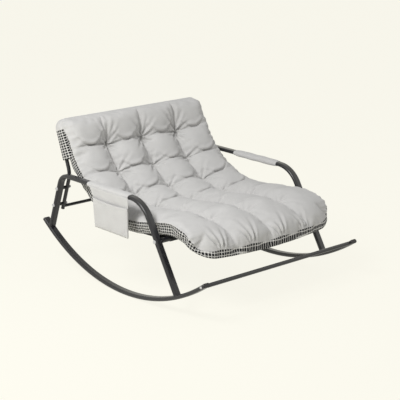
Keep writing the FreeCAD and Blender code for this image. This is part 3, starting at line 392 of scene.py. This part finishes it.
def rounded_plan(a, b, half_wide, length, first_corner, last_corner):
    """Flat place (x, along) of shares a across and b along, in a rectangle whose corners are rounded."""
    x = (2 * a - 1) * half_wide
    along = b * length
    ends = ((first_corner, along, 0.0, 1), (last_corner, length - along, length, -1))
    for corner, from_end, end, way in ends:
        aside = half_wide - abs(x)
        if from_end < corner and aside < corner:
            # squeeze the square corner into a quarter circle
            u = (corner - aside) / corner
            v = (corner - from_end) / corner
            scale = corner * max(u, v) / math.hypot(u, v)
            x = math.copysign(half_wide - corner + u * scale, x)
            along = end + way * (corner - v * scale)
    return x, along


def seam_distance(x, along):
    """Distance in from the cushion's outline."""
    aside = HALF - abs(x)
    for corner, from_end in ((TOP_CORNER, along), (FRONT_CORNER, LENGTH - along)):
        if from_end < corner and aside < corner:
            return corner - math.hypot(corner - aside, corner - from_end)
    return min(aside, along, LENGTH - along)


def eased(share):
    """Smooth step from 0 to 1."""
    share = min(1.0, max(0.0, share))
    return share * share * (3 - 2 * share)


def near_front(along):
    """Share from 0 to 1 over the zone before the front edge."""
    return eased((along - LENGTH) / FRONT_ZONE + 1)


def rounded(share):
    """Quarter-circle rise from 0 to 1."""
    return math.sqrt(1 - (1 - min(1.0, max(0.0, share))) ** 2)


def seam_height(along):
    """Height of the seam between canvas and band, lower towards both ends."""
    end_seam, near_end = (TOP_SEAM, along) if along < LENGTH / 2 else (FRONT_SEAM, LENGTH - along)
    return end_seam + (SIDE_SEAM - end_seam) * eased(near_end / SEAM_RUN)


rng = np.random.default_rng(7)
LOBE_SWELL = 1 + rng.uniform(-0.06, 0.06, (ROWS, 4))
LOBE_SWELL[BACK_ROWS:] = LOBE_SWELL[BACK_ROWS]
GATHERS = (-0.31, -0.13, 0.06, 0.215)
GATHER_PITCH, GATHER_RISE = 0.178, 0.004


def cushion_height(x, along):
    """Height of the canvas over the underside: lobes with creases between them and a fall to the seam."""
    column = min(3, int((x + HALF) / (HALF / 2)))
    row = sum(along > start for start in TUFT_ROWS)
    p = (x + HALF) / (HALF / 2) - column
    q = (along - ROW_STARTS[row]) / (ROW_STARTS[row + 1] - ROW_STARTS[row])
    ridge = abs(math.sin(math.pi * p)) ** RIDGE_POWER
    if (column == 0 and p < 0.5) or (column == 3 and p > 0.5):
        ridge = 1.0
    roll = abs(math.sin(math.pi * q)) ** ROLL_POWER
    if (row == 0 and q < 0.5) or (row == ROWS - 1 and q > 0.5):
        roll = 1.0
    # the cross creases end at the seat, whose puffs run on to the front and grow thinner there
    outward = (x / HALF) ** 2
    thinning = FRONT_THINNING + CORNER_THINNING * outward
    thinning *= eased((along / LENGTH - THINS_FROM) / THINS_OVER)
    crown = CROWN * LOBE_SWELL[row][column] * (1 - thinning)
    cross = CROSS_CREASE + (crown - CROSS_CREASE) * eased(row + q - BACK_ROWS + 0.5)
    # they are shallow at the sides, and the long creases are shallow at the top
    cross += (crown - cross) * CREASE_FADE * eased((abs(x) / HALF - FADE_FROM) / (1 - FADE_FROM))
    long_crease = LONG_CREASE + (crown - LONG_CREASE) * eased(HEAD_FADE - along / TUFT_ROWS[0])
    height = (TUFT + (long_crease - TUFT) * roll + (cross - TUFT) * ridge
              + (crown - long_crease - cross + TUFT) * ridge * roll)
    # the seam rises at the gathers of the front edge
    gather = math.cos(2 * math.pi * (x - GATHERS[0]) / GATHER_PITCH)
    seam = seam_height(along) + GATHER_RISE * near_front(along) * gather
    fall = SEAM_FALL + CORNER_FALL * outward * eased((along / LENGTH - WIDENS_FROM) / WIDENS_OVER)
    return seam + (height - seam) * rounded(seam_distance(x, along) / fall)


def on_underside(x, along, height):
    (y, z), (up_y, up_z) = underside(along)
    return Vector((x, y + up_y * height, z + up_z * height))


def canvas_place(a, b):
    x, along = rounded_plan(a, b, HALF, LENGTH, TOP_CORNER, FRONT_CORNER)
    set_back = FRONT_SET_BACK + FRONT_BOW * (x / HALF) ** 2
    return on_underside(x, along - set_back * near_front(along), cushion_height(x, along))


def base_place(a, b):
    x, along = rounded_plan(a, b, HALF, LENGTH, TOP_CORNER, FRONT_CORNER)
    inset = 1 - UNDER_INSET / HALF
    along = END_INSET + along * (1 + (FRONT_REACH - END_INSET) / LENGTH)
    along -= FRONT_BOW * (x / HALF) ** 2 * near_front(along)
    return on_underside(x * inset, along, BASE_LIFT)


across = round(2 * HALF / CELL)
lengthwise = round(LENGTH / CELL)
flat = (2 * HALF, LENGTH)
cushion = cloth_grid("tufted_cushion", across, lengthwise, canvas_place, flat)
base = cloth_grid("cushion_base", across, lengthwise, base_place, flat)
top_count = len(cushion.data.vertices)
base_count = len(base.data.vertices)
deselect()
base.select_set(True)
cushion.select_set(True)
bpy.context.view_layer.objects.active = cushion
bpy.ops.object.join()
cushion.data.name = "tufted_cushion"
bpy.ops.object.mode_set(mode="EDIT")
bpy.ops.mesh.select_all(action="DESELECT")
bpy.ops.mesh.select_mode(type="EDGE")
bpy.ops.mesh.select_non_manifold()
bpy.ops.mesh.bridge_edge_loops(number_cuts=4, interpolation="LINEAR")
bpy.ops.object.mode_set(mode="OBJECT")
recalculate(cushion)

# which vertices are canvas, base and band, from the order they were made in
rest = np.array([v.co for v in cushion.data.vertices])
kind = np.full(len(rest), 2)
kind[:top_count] = 0
kind[top_count:top_count + base_count] = 1

# flat place of each vertex along the cushion, read from its nearest point on the underside
samples = np.linspace(0, LENGTH, 1500)
path = np.array([underside(s)[0] for s in samples])
along_of = np.empty(len(rest))
for start in range(0, len(rest), 2000):
    side_view = rest[start:start + 2000, None, 1:] - path[None]
    along_of[start:start + 2000] = samples[np.argmin((side_view ** 2).sum(2), axis=1)]
height_of = np.hypot(*(rest[:, 1:] - path[np.searchsorted(samples, along_of).clip(0, len(samples) - 1)]).T)

# canvas on top and round the top end, check on the band and below
cushion.data.materials.clear()
for cloth_kind in (CANVAS, CHECK, CANVAS):
    cushion.data.materials.append(cloth_kind)
TOP_CLOTH, BAND_CLOTH, END_CLOTH = range(3)
uv = cushion.data.uv_layers["cloth"]
for face in cushion.data.polygons:
    kinds = [kind[i] for i in face.vertices]
    on_band = 2 in kinds or (0 in kinds and 1 in kinds)
    middle_along = sum(along_of[i] for i in face.vertices) / len(face.vertices)
    face.material_index = TOP_CLOTH if 0 in kinds and not on_band else BAND_CLOTH
    face.use_smooth = True
    if on_band:
        if middle_along < EAR_DROP:
            face.material_index = END_CLOTH
        sideways = abs(face.normal.x) > 0.7
        for loop in face.loop_indices:
            i = cushion.data.loops[loop].vertex_index
            uv.data[loop].uv = (along_of[i] if sideways else rest[i][0], height_of[i])


def swell(piece, pinned, frames, cap):
    """Cloth simulation with air inside; pinned is each vertex's hold, and cap the furthest that one moves."""
    before = np.array([v.co for v in piece.data.vertices])
    hold = piece.vertex_groups.new(name="held")
    for i, weight in enumerate(pinned):
        if weight > 0:
            hold.add([i], float(weight), "REPLACE")
    pick(piece)
    cloth = piece.modifiers.new("swell", "CLOTH")
    cloth.settings.quality = 6
    cloth.settings.mass = 0.3
    cloth.settings.tension_stiffness = 15
    cloth.settings.compression_stiffness = 6
    cloth.settings.shear_stiffness = 4
    cloth.settings.bending_stiffness = 0.35
    cloth.settings.shrink_min = -0.07
    cloth.settings.use_pressure = True
    cloth.settings.uniform_pressure_force = 4
    cloth.settings.vertex_group_mass = "held"
    cloth.settings.pin_stiffness = 1.0
    cloth.settings.effector_weights.gravity = 0
    cloth.collision_settings.use_collision = False
    cloth.point_cache.frame_start = 1
    cloth.point_cache.frame_end = frames
    for frame_number in range(1, frames + 1):
        scene.frame_set(frame_number)
    pick(piece)
    bpy.ops.object.modifier_apply(modifier="swell")
    scene.frame_set(1)
    piece.vertex_groups.clear()
    after = np.array([v.co for v in piece.data.vertices])
    moved = after - before
    reach = np.linalg.norm(moved, axis=1)
    shorten = cap * np.tanh(reach / cap) / np.maximum(reach, 1e-9)
    for vertex, place in zip(piece.data.vertices, before + moved * shorten[:, None]):
        vertex.co = place
    return reach


# Folds of the canvas: how wide one starts and spreads, then lengths and depths, each from least to most
FOLD_START, FOLD_SPREAD = 0.005, 0.055
FOLD_LENGTH, FOLD_DEPTH = (0.08, 0.15), (0.007, 0.012)
# strongest on the back and slight on the seat's long puffs, by row of tufts
FOLD_STRENGTHS = (1.0, 1.0, 0.9, 0.8, 0.4, 0.35)
# the top row pulls longer folds up towards the head edge, and the front edge is gathered
HEAD_FANS = (-0.55, -0.2, 0.12, 0.5)
HEAD_FOLD_LENGTH, HEAD_FOLD_DEPTH = (0.13, 0.19), (0.008, 0.011)
GATHER_FANS = (-0.45, -0.1, 0.3)
GATHER_LENGTH, GATHER_DEPTH = (0.09, 0.16), 0.009
PUCKER_PITCH, PUCKER_DEPTH, PUCKER_REACH = 0.037, 0.002, 0.028
TUCK_DEPTH, TUCK_RUN = 0.012, 0.007
TUCK_BULGE, TUCK_ABOVE, TUCK_BULGE_RUN = 0.008, 0.018, 0.012


def crease(forward, lateral, length, depth):
    """Fold that starts sharp and fades: a valley between two low ridges, widening along its length."""
    width = FOLD_START + FOLD_SPREAD * np.maximum(forward, 0)
    fade = np.clip(1 - forward / length, 0, 1) ** 1.2 * np.clip(forward / 0.012, 0, 1)
    valley = -np.exp(-(lateral / width) ** 2)
    ridges = 0.6 * np.exp(-((np.abs(lateral) - 1.7 * width) / (0.9 * width)) ** 2)
    return depth * fade * (valley + ridges)


def subdivide_canvas(piece):
    """Halves the cells of the canvas alone, which carries the fine folds."""
    pick(piece)
    bpy.ops.object.mode_set(mode="EDIT")
    bpy.ops.mesh.select_mode(type="FACE")
    bpy.ops.mesh.select_all(action="DESELECT")
    piece.active_material_index = TOP_CLOTH
    bpy.ops.object.material_slot_select()
    bpy.ops.mesh.subdivide(number_cuts=1, smoothness=0.0)
    bpy.ops.object.mode_set(mode="OBJECT")


def fold_canvas(piece):
    """Folds running out from the tufts, tucks in the creases, front gathers and puckers at the seams."""
    mesh = piece.data
    flat_place = np.full((len(mesh.vertices), 2), np.nan)
    cloth = mesh.uv_layers["cloth"].data
    for face in mesh.polygons:
        if face.material_index == TOP_CLOTH:
            for loop in face.loop_indices:
                flat_place[mesh.loops[loop].vertex_index] = cloth[loop].uv
    on_canvas = ~np.isnan(flat_place[:, 0])
    x, along = flat_place[on_canvas, 0] - HALF, flat_place[on_canvas, 1]
    lift = np.zeros(len(x))

    def run_out(start_x, start_along, angle, length, depth):
        dx, ds = x - start_x, along - start_along
        forward = dx * math.cos(angle) + ds * math.sin(angle)
        lateral = ds * math.cos(angle) - dx * math.sin(angle)
        return crease(forward, lateral, length, depth)

    for k, tuft_along in enumerate(TUFT_ROWS):
        strength = FOLD_STRENGTHS[k]
        for tuft_x in COLUMNS:
            count = int(rng.integers(6, 9))
            first = rng.uniform(0, 2 * math.pi)
            for ray in range(count):
                angle = first + 2 * math.pi * (ray + rng.uniform(-0.25, 0.25)) / count
                lift += run_out(tuft_x, tuft_along, angle, rng.uniform(*FOLD_LENGTH),
                                strength * rng.uniform(*FOLD_DEPTH))
            for fan in HEAD_FANS:
                if k == 0:
                    lift += run_out(tuft_x, tuft_along, fan + rng.uniform(-0.1, 0.1) - math.pi / 2,
                                    rng.uniform(*HEAD_FOLD_LENGTH), rng.uniform(*HEAD_FOLD_DEPTH))
        # the puff above sags over the one below in the middle of each cross crease
        for column in range(4):
            dx = x - (column - 1.5) * HALF / 2 - rng.uniform(-0.015, 0.015)
            below = along - tuft_along + 10 * dx ** 2
            bulge = TUCK_BULGE * np.exp(-((below + TUCK_ABOVE) / TUCK_BULGE_RUN) ** 2)
            tuck = bulge - TUCK_DEPTH * np.exp(-(below / TUCK_RUN) ** 2)
            if k < BACK_ROWS:
                lift += strength * rng.uniform(0.5, 1.0) * tuck * np.exp(-(dx / 0.05) ** 2)
    for middle in GATHERS:
        for fan in GATHER_FANS:
            lift += run_out(middle + 0.03 * fan, LENGTH - 0.004, fan - math.pi / 2,
                            rng.uniform(*GATHER_LENGTH), GATHER_DEPTH)
    from_side = HALF - np.abs(x)
    puckers = np.cos(2 * math.pi * along / PUCKER_PITCH + 1.5 * np.sin(along / 0.05) + np.sign(x))
    lift += PUCKER_DEPTH * puckers * np.exp(-from_side / PUCKER_REACH)
    places, normals = np.empty(3 * len(mesh.vertices)), np.empty(3 * len(mesh.vertices))
    mesh.vertices.foreach_get("co", places)
    mesh.vertex_normals.foreach_get("vector", normals)
    places, normals = places.reshape(-1, 3), normals.reshape(-1, 3)
    places[on_canvas] += normals[on_canvas] * lift[:, None]
    mesh.vertices.foreach_set("co", places.ravel())
    mesh.update()


pinned = np.zeros(len(rest))
on_top = kind == 0
for column_x in COLUMNS:
    on_crease = on_top & (np.abs(rest[:, 0] - column_x) < 0.5 * CELL)
    pinned[on_crease & (along_of > 0.75 * TUFT_ROWS[0])] = 1.0
for tuft_along in TUFT_ROWS:
    for tuft_x in COLUMNS:
        near = np.hypot(rest[:, 0] - tuft_x, along_of - tuft_along) < TUFT_RADIUS
        pinned[near & on_top] = 1.0
# the sewn side seams stay straight, the underside rests on the sling, and the hood holds the band at the top
pinned[on_top & (np.abs(rest[:, 0]) > HALF - 0.5 * CELL)] = 1.0
pinned[kind == 1] = 1.0
pinned[(kind == 2) & (along_of < HOOD_HOLD)] = 1.0
swell(cushion, pinned, frames=20, cap=0.027)
apply_modifier(cushion, "SUBSURF", levels=1, render_levels=1)
subdivide_canvas(cushion)
fold_canvas(cushion)
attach(cushion, "frame")
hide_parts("cushion")


# Sling: one black sheet, sewn into a sleeve round the top bar and another round the seat bar
FRONT_WRAP = SEAT_BAR_RADIUS + SOFT_GAP + CLOTH / 2
top_contact = math.degrees(math.atan2(HANG_Z - TOP_BAR_Z, HANG_Y - TOP_BAR_Y))
sheet_leaves = math.degrees(math.atan2(to_bar[1], to_bar[0])
                            + math.acos((SLING_RADIUS - FRONT_WRAP) / bar_distance))
SLEEVE = 285.0
SLING_STEP = 0.018
NOTCH_WIDTH, NOTCH_DEPTH = 0.036, 0.07
SLING_RUNS = [
    (np.array([TOP_BAR_Y, TOP_BAR_Z]), TOP_WRAP, top_contact - SLEEVE, top_contact),
    (HANG, SLING_RADIUS, top_contact - 180, sheet_leaves),
    (SEAT_BAR, FRONT_WRAP, sheet_leaves, sheet_leaves - SLEEVE),
]


def sling_line():
    """Points (y, z) along the sling's middle layer, evenly close on the sheet and closer round the bars."""
    points = []
    for middle, radius, first, last in SLING_RUNS:
        steps = max(14, round(radius * math.radians(abs(last - first)) / SLING_STEP))
        points += [middle + turned(first + (last - first) * i / steps) * radius for i in range(steps + 1)]
    return points


sling_points = sling_line()
steps = [float(np.hypot(*(b - a))) for a, b in zip(sling_points, sling_points[1:])]
sling_length = sum(steps)
sling_rows = len(sling_points) - 1


def sling_place(a, b):
    y, z = sling_points[round(b * sling_rows)]
    narrow = NOTCH_WIDTH if z > TOP_BAR_Z - NOTCH_DEPTH else 0.0
    return Vector(((2 * a - 1) * (SLING_HALF - narrow), y, z))


sling = cloth_grid("hung_sling", 40, sling_rows, sling_place, (2 * SLING_HALF, sling_length))
apply_modifier(sling, "SOLIDIFY", thickness=CLOTH, offset=0.0)
recalculate(sling)
sling.data.materials.clear()
sling.data.materials.append(SLING_MESH)
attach(sling, "frame")
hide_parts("sling")


# Hood: a bag of check cloth with a canvas top that slips over the back loop from above
HOOD_UP, HOOD_BACK = turned(90 - math.degrees(LOOP_LEAN)), turned(-math.degrees(LOOP_LEAN))
TOP_BAR = np.array([TOP_BAR_Y, TOP_BAR_Z])
HOOD_HALF = 0.452
HOOD_REACH = 0.0165
HOOD_TOP = 0.0205
HOOD_DROP = 0.182
HOOD_EDGE = 0.014
HOOD_CORNER = 0.031
HOOD_FORWARD = 0.040
HOOD_TUCK = 0.012
HOOD_FORWARD_LOW = 0.074
HOOD_SLACK, HOOD_SLACK_WIDTH, HOOD_SLACK_EASE = 0.005, 0.98, 0.08
edge_length = HOOD_EDGE * math.pi / 2
turn_over = edge_length + HOOD_REACH + HOOD_FORWARD - HOOD_EDGE
core_half, core_top = HOOD_HALF - HOOD_EDGE, HOOD_TOP - HOOD_EDGE


def hood_place(a, b):
    """The cloth lies flat behind the loop and turns forward past its edges, round the two top corners too."""
    x, down = rounded_plan(a, b, core_half + turn_over, turn_over + HOOD_DROP + core_top,
                           HOOD_CORNER + turn_over, 0.0)
    rise = core_top + turn_over - down
    corner_x, corner_rise = core_half - HOOD_CORNER, core_top - HOOD_CORNER
    side = math.copysign(1.0, x)
    if abs(x) > corner_x and rise > corner_rise:
        over_x, over_rise = abs(x) - corner_x, rise - corner_rise
        from_corner = max(1e-9, math.hypot(over_x, over_rise))
        past = from_corner - HOOD_CORNER
        out = (side * over_x / from_corner, over_rise / from_corner)
    elif abs(x) - core_half > rise - core_top:
        past, out = abs(x) - core_half, (side, 0.0)
    else:
        past, out = rise - core_top, (0.0, 1.0)
    back = HOOD_REACH
    if past > 0:
        turn = min(past / HOOD_EDGE, math.pi / 2)
        swing = HOOD_EDGE * math.sin(turn) - past
        # the sides are cut wider lower down, where the cushion stands further from the loop
        low = min(1.0, max(0.0, -rise / HOOD_DROP))
        wider = 1 + low * (HOOD_FORWARD_LOW - HOOD_FORWARD) / (turn_over - edge_length)
        back -= HOOD_EDGE * (1 - math.cos(turn)) + max(0.0, past - edge_length) * wider
        # the front hem is sewn in under the cushion's seam
        swing -= HOOD_TUCK * eased((past - turn_over) / HOOD_TUCK + 1)
        x += out[0] * swing
        rise += out[1] * swing
    # the cloth is slack between the loop's legs
    hang = math.sin(math.pi * min(1.0, max(0.0, -rise / HOOD_DROP)))
    slack = HOOD_SLACK * hang * math.cos(math.pi * x / HOOD_SLACK_WIDTH)
    if past < 0:
        back -= slack * min(1.0, -past / HOOD_SLACK_EASE)
    y, z = TOP_BAR + HOOD_UP * rise + HOOD_BACK * back
    return Vector((x, y, z))


hood_flat = (2 * (core_half + turn_over), turn_over + HOOD_DROP + core_top)
hood = cloth_grid("back_hood", 120, 40, hood_place, hood_flat)
hood.data.materials.clear()
hood.data.materials.append(CANVAS)
hood.data.materials.append(CHECK)
for face in hood.data.polygons:
    rise = float(np.dot(np.array(face.center[1:]) - TOP_BAR, HOOD_UP))
    face.material_index = 0 if rise > HOOD_TOP - EAR_DROP else 1
apply_modifier(hood, "SOLIDIFY", thickness=CLOTH, offset=0.0)
recalculate(hood)
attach(hood, "frame")
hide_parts("cushion_hood")


# Arm pads: a quilted canvas sleeve drawn in at both ends
PAD_HEM = 0.010
PAD_ROUND = 0.034


def oval(share, half_wide, half_high, squareness):
    angle = 2 * math.pi * share
    c, s = math.cos(angle), math.sin(angle)
    return (half_wide * math.copysign(abs(c) ** (2 / squareness), c),
            half_high * math.copysign(abs(s) ** (2 / squareness), s))


def make_arm_pad(side):
    low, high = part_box(side + "_arm_pad_cover")
    middle_x, middle_z = (low.x + high.x) / 2, (low.z + high.z) / 2
    half_wide, half_high = (high.x - low.x) / 2, (high.z - low.z) / 2
    tube_wide, tube_high = 0.0194, 0.0104
    length = high.y - low.y

    def fullness(from_end):
        """Share from the tube's skin to the full pad: a flat hem, a stitched groove, then the full sleeve."""
        if from_end < PAD_HEM:
            return 0.42
        return 0.30 + 0.70 * rounded((from_end - PAD_HEM) / PAD_ROUND)

    ends = [0.0, 0.001, 0.004, PAD_HEM - 0.001, PAD_HEM, PAD_HEM + 0.0015, PAD_HEM + 0.004, PAD_HEM + 0.009,
            PAD_HEM + 0.016, PAD_HEM + 0.025]
    steps = 26
    spread = [ends[-1] + (length - 2 * ends[-1]) * i / steps for i in range(1, steps)]
    line = [(e, fullness(e)) for e in ends] + [(s, fullness(min(s, length - s))) for s in spread]
    line += [(length - e, fullness(e)) for e in reversed(ends)]
    line[0] = (0.0, 0.25)
    line[-1] = (length, 0.25)
    # the lining runs back along the tube
    line = [(0.006, 0.0), (0.0, 0.0)] + line + [(length, 0.0), (length - 0.006, 0.0)]
    line += [(length * share, 0.0) for share in (0.75, 0.5, 0.25)] + [(0.006, 0.0)]

    def pad_place(a, b):
        along, full = line[round(b * (len(line) - 1))]
        px, pz = oval(a, 1, 1, 2.5)
        ripple = 0.0009 * math.sin(along / 0.017 + 5 * a) * math.sin(math.pi * along / length) * full
        wide = tube_wide + (half_wide - tube_wide) * full + ripple
        high_z = tube_high + (half_high - tube_high) * full + ripple
        return Vector((middle_x + px * wide, low.y + along, middle_z + pz * high_z))

    pad = cloth_grid(side + "_arm_sleeve", 40, len(line) - 1, pad_place, (0.14, length))
    uv = pad.data.uv_layers["cloth"]
    for loop in pad.data.loops:
        u, v = uv.data[loop.index].uv
        uv.data[loop.index].uv = (u, line[min(len(line) - 1, round(v / length * (len(line) - 1)))][0])
    pick(pad)
    bpy.ops.object.mode_set(mode="EDIT")
    bpy.ops.mesh.select_all(action="SELECT")
    bpy.ops.mesh.remove_doubles(threshold=0.00005)
    bpy.ops.object.mode_set(mode="OBJECT")
    recalculate(pad)
    pad.data.materials.clear()
    pad.data.materials.append(CANVAS)
    apply_modifier(pad, "SUBSURF", levels=1, render_levels=1)
    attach(pad, "frame")
    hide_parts(side + "_arm_pad_cover", side + "_arm_pad_foam")


make_arm_pad("left")
make_arm_pad("right")


# Side pocket: a flap sewn to the near arm's sleeve and folded back up to make the pouch
POCKET_TOP = 0.4925
POCKET_FOOT = 0.2985
POCKET_MOUTH = 0.4445
POCKET_FRONT_Y = -0.0725
POCKET_BACKS = ((POCKET_FOOT, 0.1855), (POCKET_MOUTH, 0.1985), (POCKET_TOP, 0.2325))
POCKET_X = -0.5066
POUCH_GAP, POUCH_EDGE_GAP = 0.0095, 0.0022
POCKET_HEM, HEM_THICKNESS = 0.014, 0.0008
POCKET_WAVE, POCKET_WAVE_RUN = 0.0016, 0.031
MOUTH_SAG, SAG_FROM = 0.006, 0.6
POCKET_CLOTH = 0.0016
POUCH_SIDE_ROUND, POUCH_FOOT_ROUND = 0.035, 0.030


def pocket_back(height):
    """Rear edge of the pocket at a height."""
    heights, backs = zip(*POCKET_BACKS)
    return float(np.interp(height, heights, backs))


flap, pouch = POCKET_TOP - POCKET_FOOT, POCKET_MOUTH - POCKET_FOOT
pocket_flat = (POCKET_BACKS[2][1] - POCKET_FRONT_Y, flap + pouch + 0.02)


def pocket_place(a, b):
    """Down the flap, round the foot and up the pouch to its mouth, which sags and stands off the flap."""
    run = b * (flap + pouch)
    on_flap = run < flap
    height = POCKET_TOP - run if on_flap else POCKET_FOOT + run - flap
    back = pocket_back(height)
    y = POCKET_FRONT_Y + a * (back - POCKET_FRONT_Y)
    edge = min(a, 1 - a) * (back - POCKET_FRONT_Y)
    from_foot = height - POCKET_FOOT
    belly = rounded(edge / POUCH_SIDE_ROUND) * rounded(from_foot / POUCH_FOOT_ROUND)
    # hung cloth is never quite flat: slow waves run down from the arm
    hang = math.sin(math.pi * (POCKET_TOP - height) / flap)
    wave = POCKET_WAVE * math.sin(y / POCKET_WAVE_RUN + 0.7) * hang
    if on_flap:
        return Vector((POCKET_X + 0.4 * wave * belly, y, height))
    lift = from_foot / pouch
    sag = MOUTH_SAG * math.sin(math.pi * a) * max(0.0, lift - SAG_FROM) / (1 - SAG_FROM)
    hem = HEM_THICKNESS if pouch - from_foot < POCKET_HEM else 0.0
    stand = POUCH_EDGE_GAP + (POUCH_GAP - POUCH_EDGE_GAP) * belly
    return Vector((POCKET_X - stand - hem - wave * belly, y, height - sag))


pocket = cloth_grid("side_pocket_cloth", 64, 84, pocket_place, pocket_flat)
pocket.data.materials.clear()
pocket.data.materials.append(CANVAS)
apply_modifier(pocket, "SOLIDIFY", thickness=POCKET_CLOTH, offset=0.0)
recalculate(pocket)
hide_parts("side_pocket")
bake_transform(pocket)


# Floor and light
CREAM = "#FDFBF0"
FLOOR_EVEN = 0.92


def seen_rays(tree):
    """1 for the rays that show a background: to the eye, in gloss and through glass."""
    rays = add(tree, "ShaderNodeLightPath").outputs
    seen = add(tree, "ShaderNodeMath", [(0, rays["Is Camera Ray"]), (1, rays["Is Glossy Ray"])],
               operation="MAXIMUM")
    return add(tree, "ShaderNodeMath", [(0, seen.outputs[0]), (1, rays["Is Transmission Ray"])],
               operation="MAXIMUM").outputs[0]


def make_floor():
    deselect()
    bpy.ops.mesh.primitive_plane_add(size=80, location=(0, 0, 0))
    floor = bpy.context.object
    floor.name = "pale_floor"
    material, tree, surface = new_material("pale_floor_paint", CREAM, 0.9, **{"Specular IOR Level": 0.0})
    # the floor shows mostly its own even cream to the eye and to gloss, with part of the shadow left in it
    even = add(tree, "ShaderNodeMath", [(0, seen_rays(tree)), (1, FLOOR_EVEN)], operation="MULTIPLY")
    glow = add(tree, "ShaderNodeEmission", [("Color", linear(CREAM)), ("Strength", 1.0)])
    blend = add(tree, "ShaderNodeMixShader", [(0, even.outputs[0]), (1, surface.outputs[0]),
                                              (2, glow.outputs[0])])
    tree.links.new(blend.outputs[0], tree.nodes["Material Output"].inputs["Surface"])
    floor.data.materials.append(material)


def area_light(name, place, aim, size, power):
    light = bpy.data.lights.new(name, "AREA")
    light.energy = power
    light.size = size
    lamp = bpy.data.objects.new(name, light)
    scene.collection.objects.link(lamp)
    lamp.location = place
    lamp.rotation_euler = (Vector(aim) - Vector(place)).to_track_quat("-Z", "Y").to_euler()


make_floor()

# World: an even white light on the object, seen as the same cream as the floor
world = bpy.data.worlds.new("studio")
world.use_nodes = True
sky = world.node_tree
light = sky.nodes["Background"]
light.inputs["Color"].default_value = linear("#FFFFFF")
light.inputs["Strength"].default_value = 0.38
backdrop = add(sky, "ShaderNodeBackground", [("Color", linear(CREAM)), ("Strength", 1.0)])
both = add(sky, "ShaderNodeMixShader", [(0, seen_rays(sky)), (1, light.outputs[0]), (2, backdrop.outputs[0])])
sky.links.new(both.outputs[0], sky.nodes["World Output"].inputs["Surface"])
scene.world = world
area_light("key", (-2.6, -0.4, 3.0), (0.0, 0.0, 0.4), 1.2, 95)
area_light("fill", (3.2, -2.4, 2.6), (0.0, 0.0, 0.4), 3.0, 14)

# Camera fitted to the photograph
EYE, AIM = Vector((-3.849, -4.419, 2.057)), Vector((0, 0, 0.375))
camera = bpy.data.objects.new("camera", bpy.data.cameras.new("camera"))
scene.collection.objects.link(camera)
camera.location = EYE
camera.data.lens = 110.6
camera.data.sensor_width = 36
camera.rotation_euler = (AIM - camera.location).to_track_quat("-Z", "Y").to_euler()
scene.camera = camera
scene.view_settings.view_transform = "Standard"
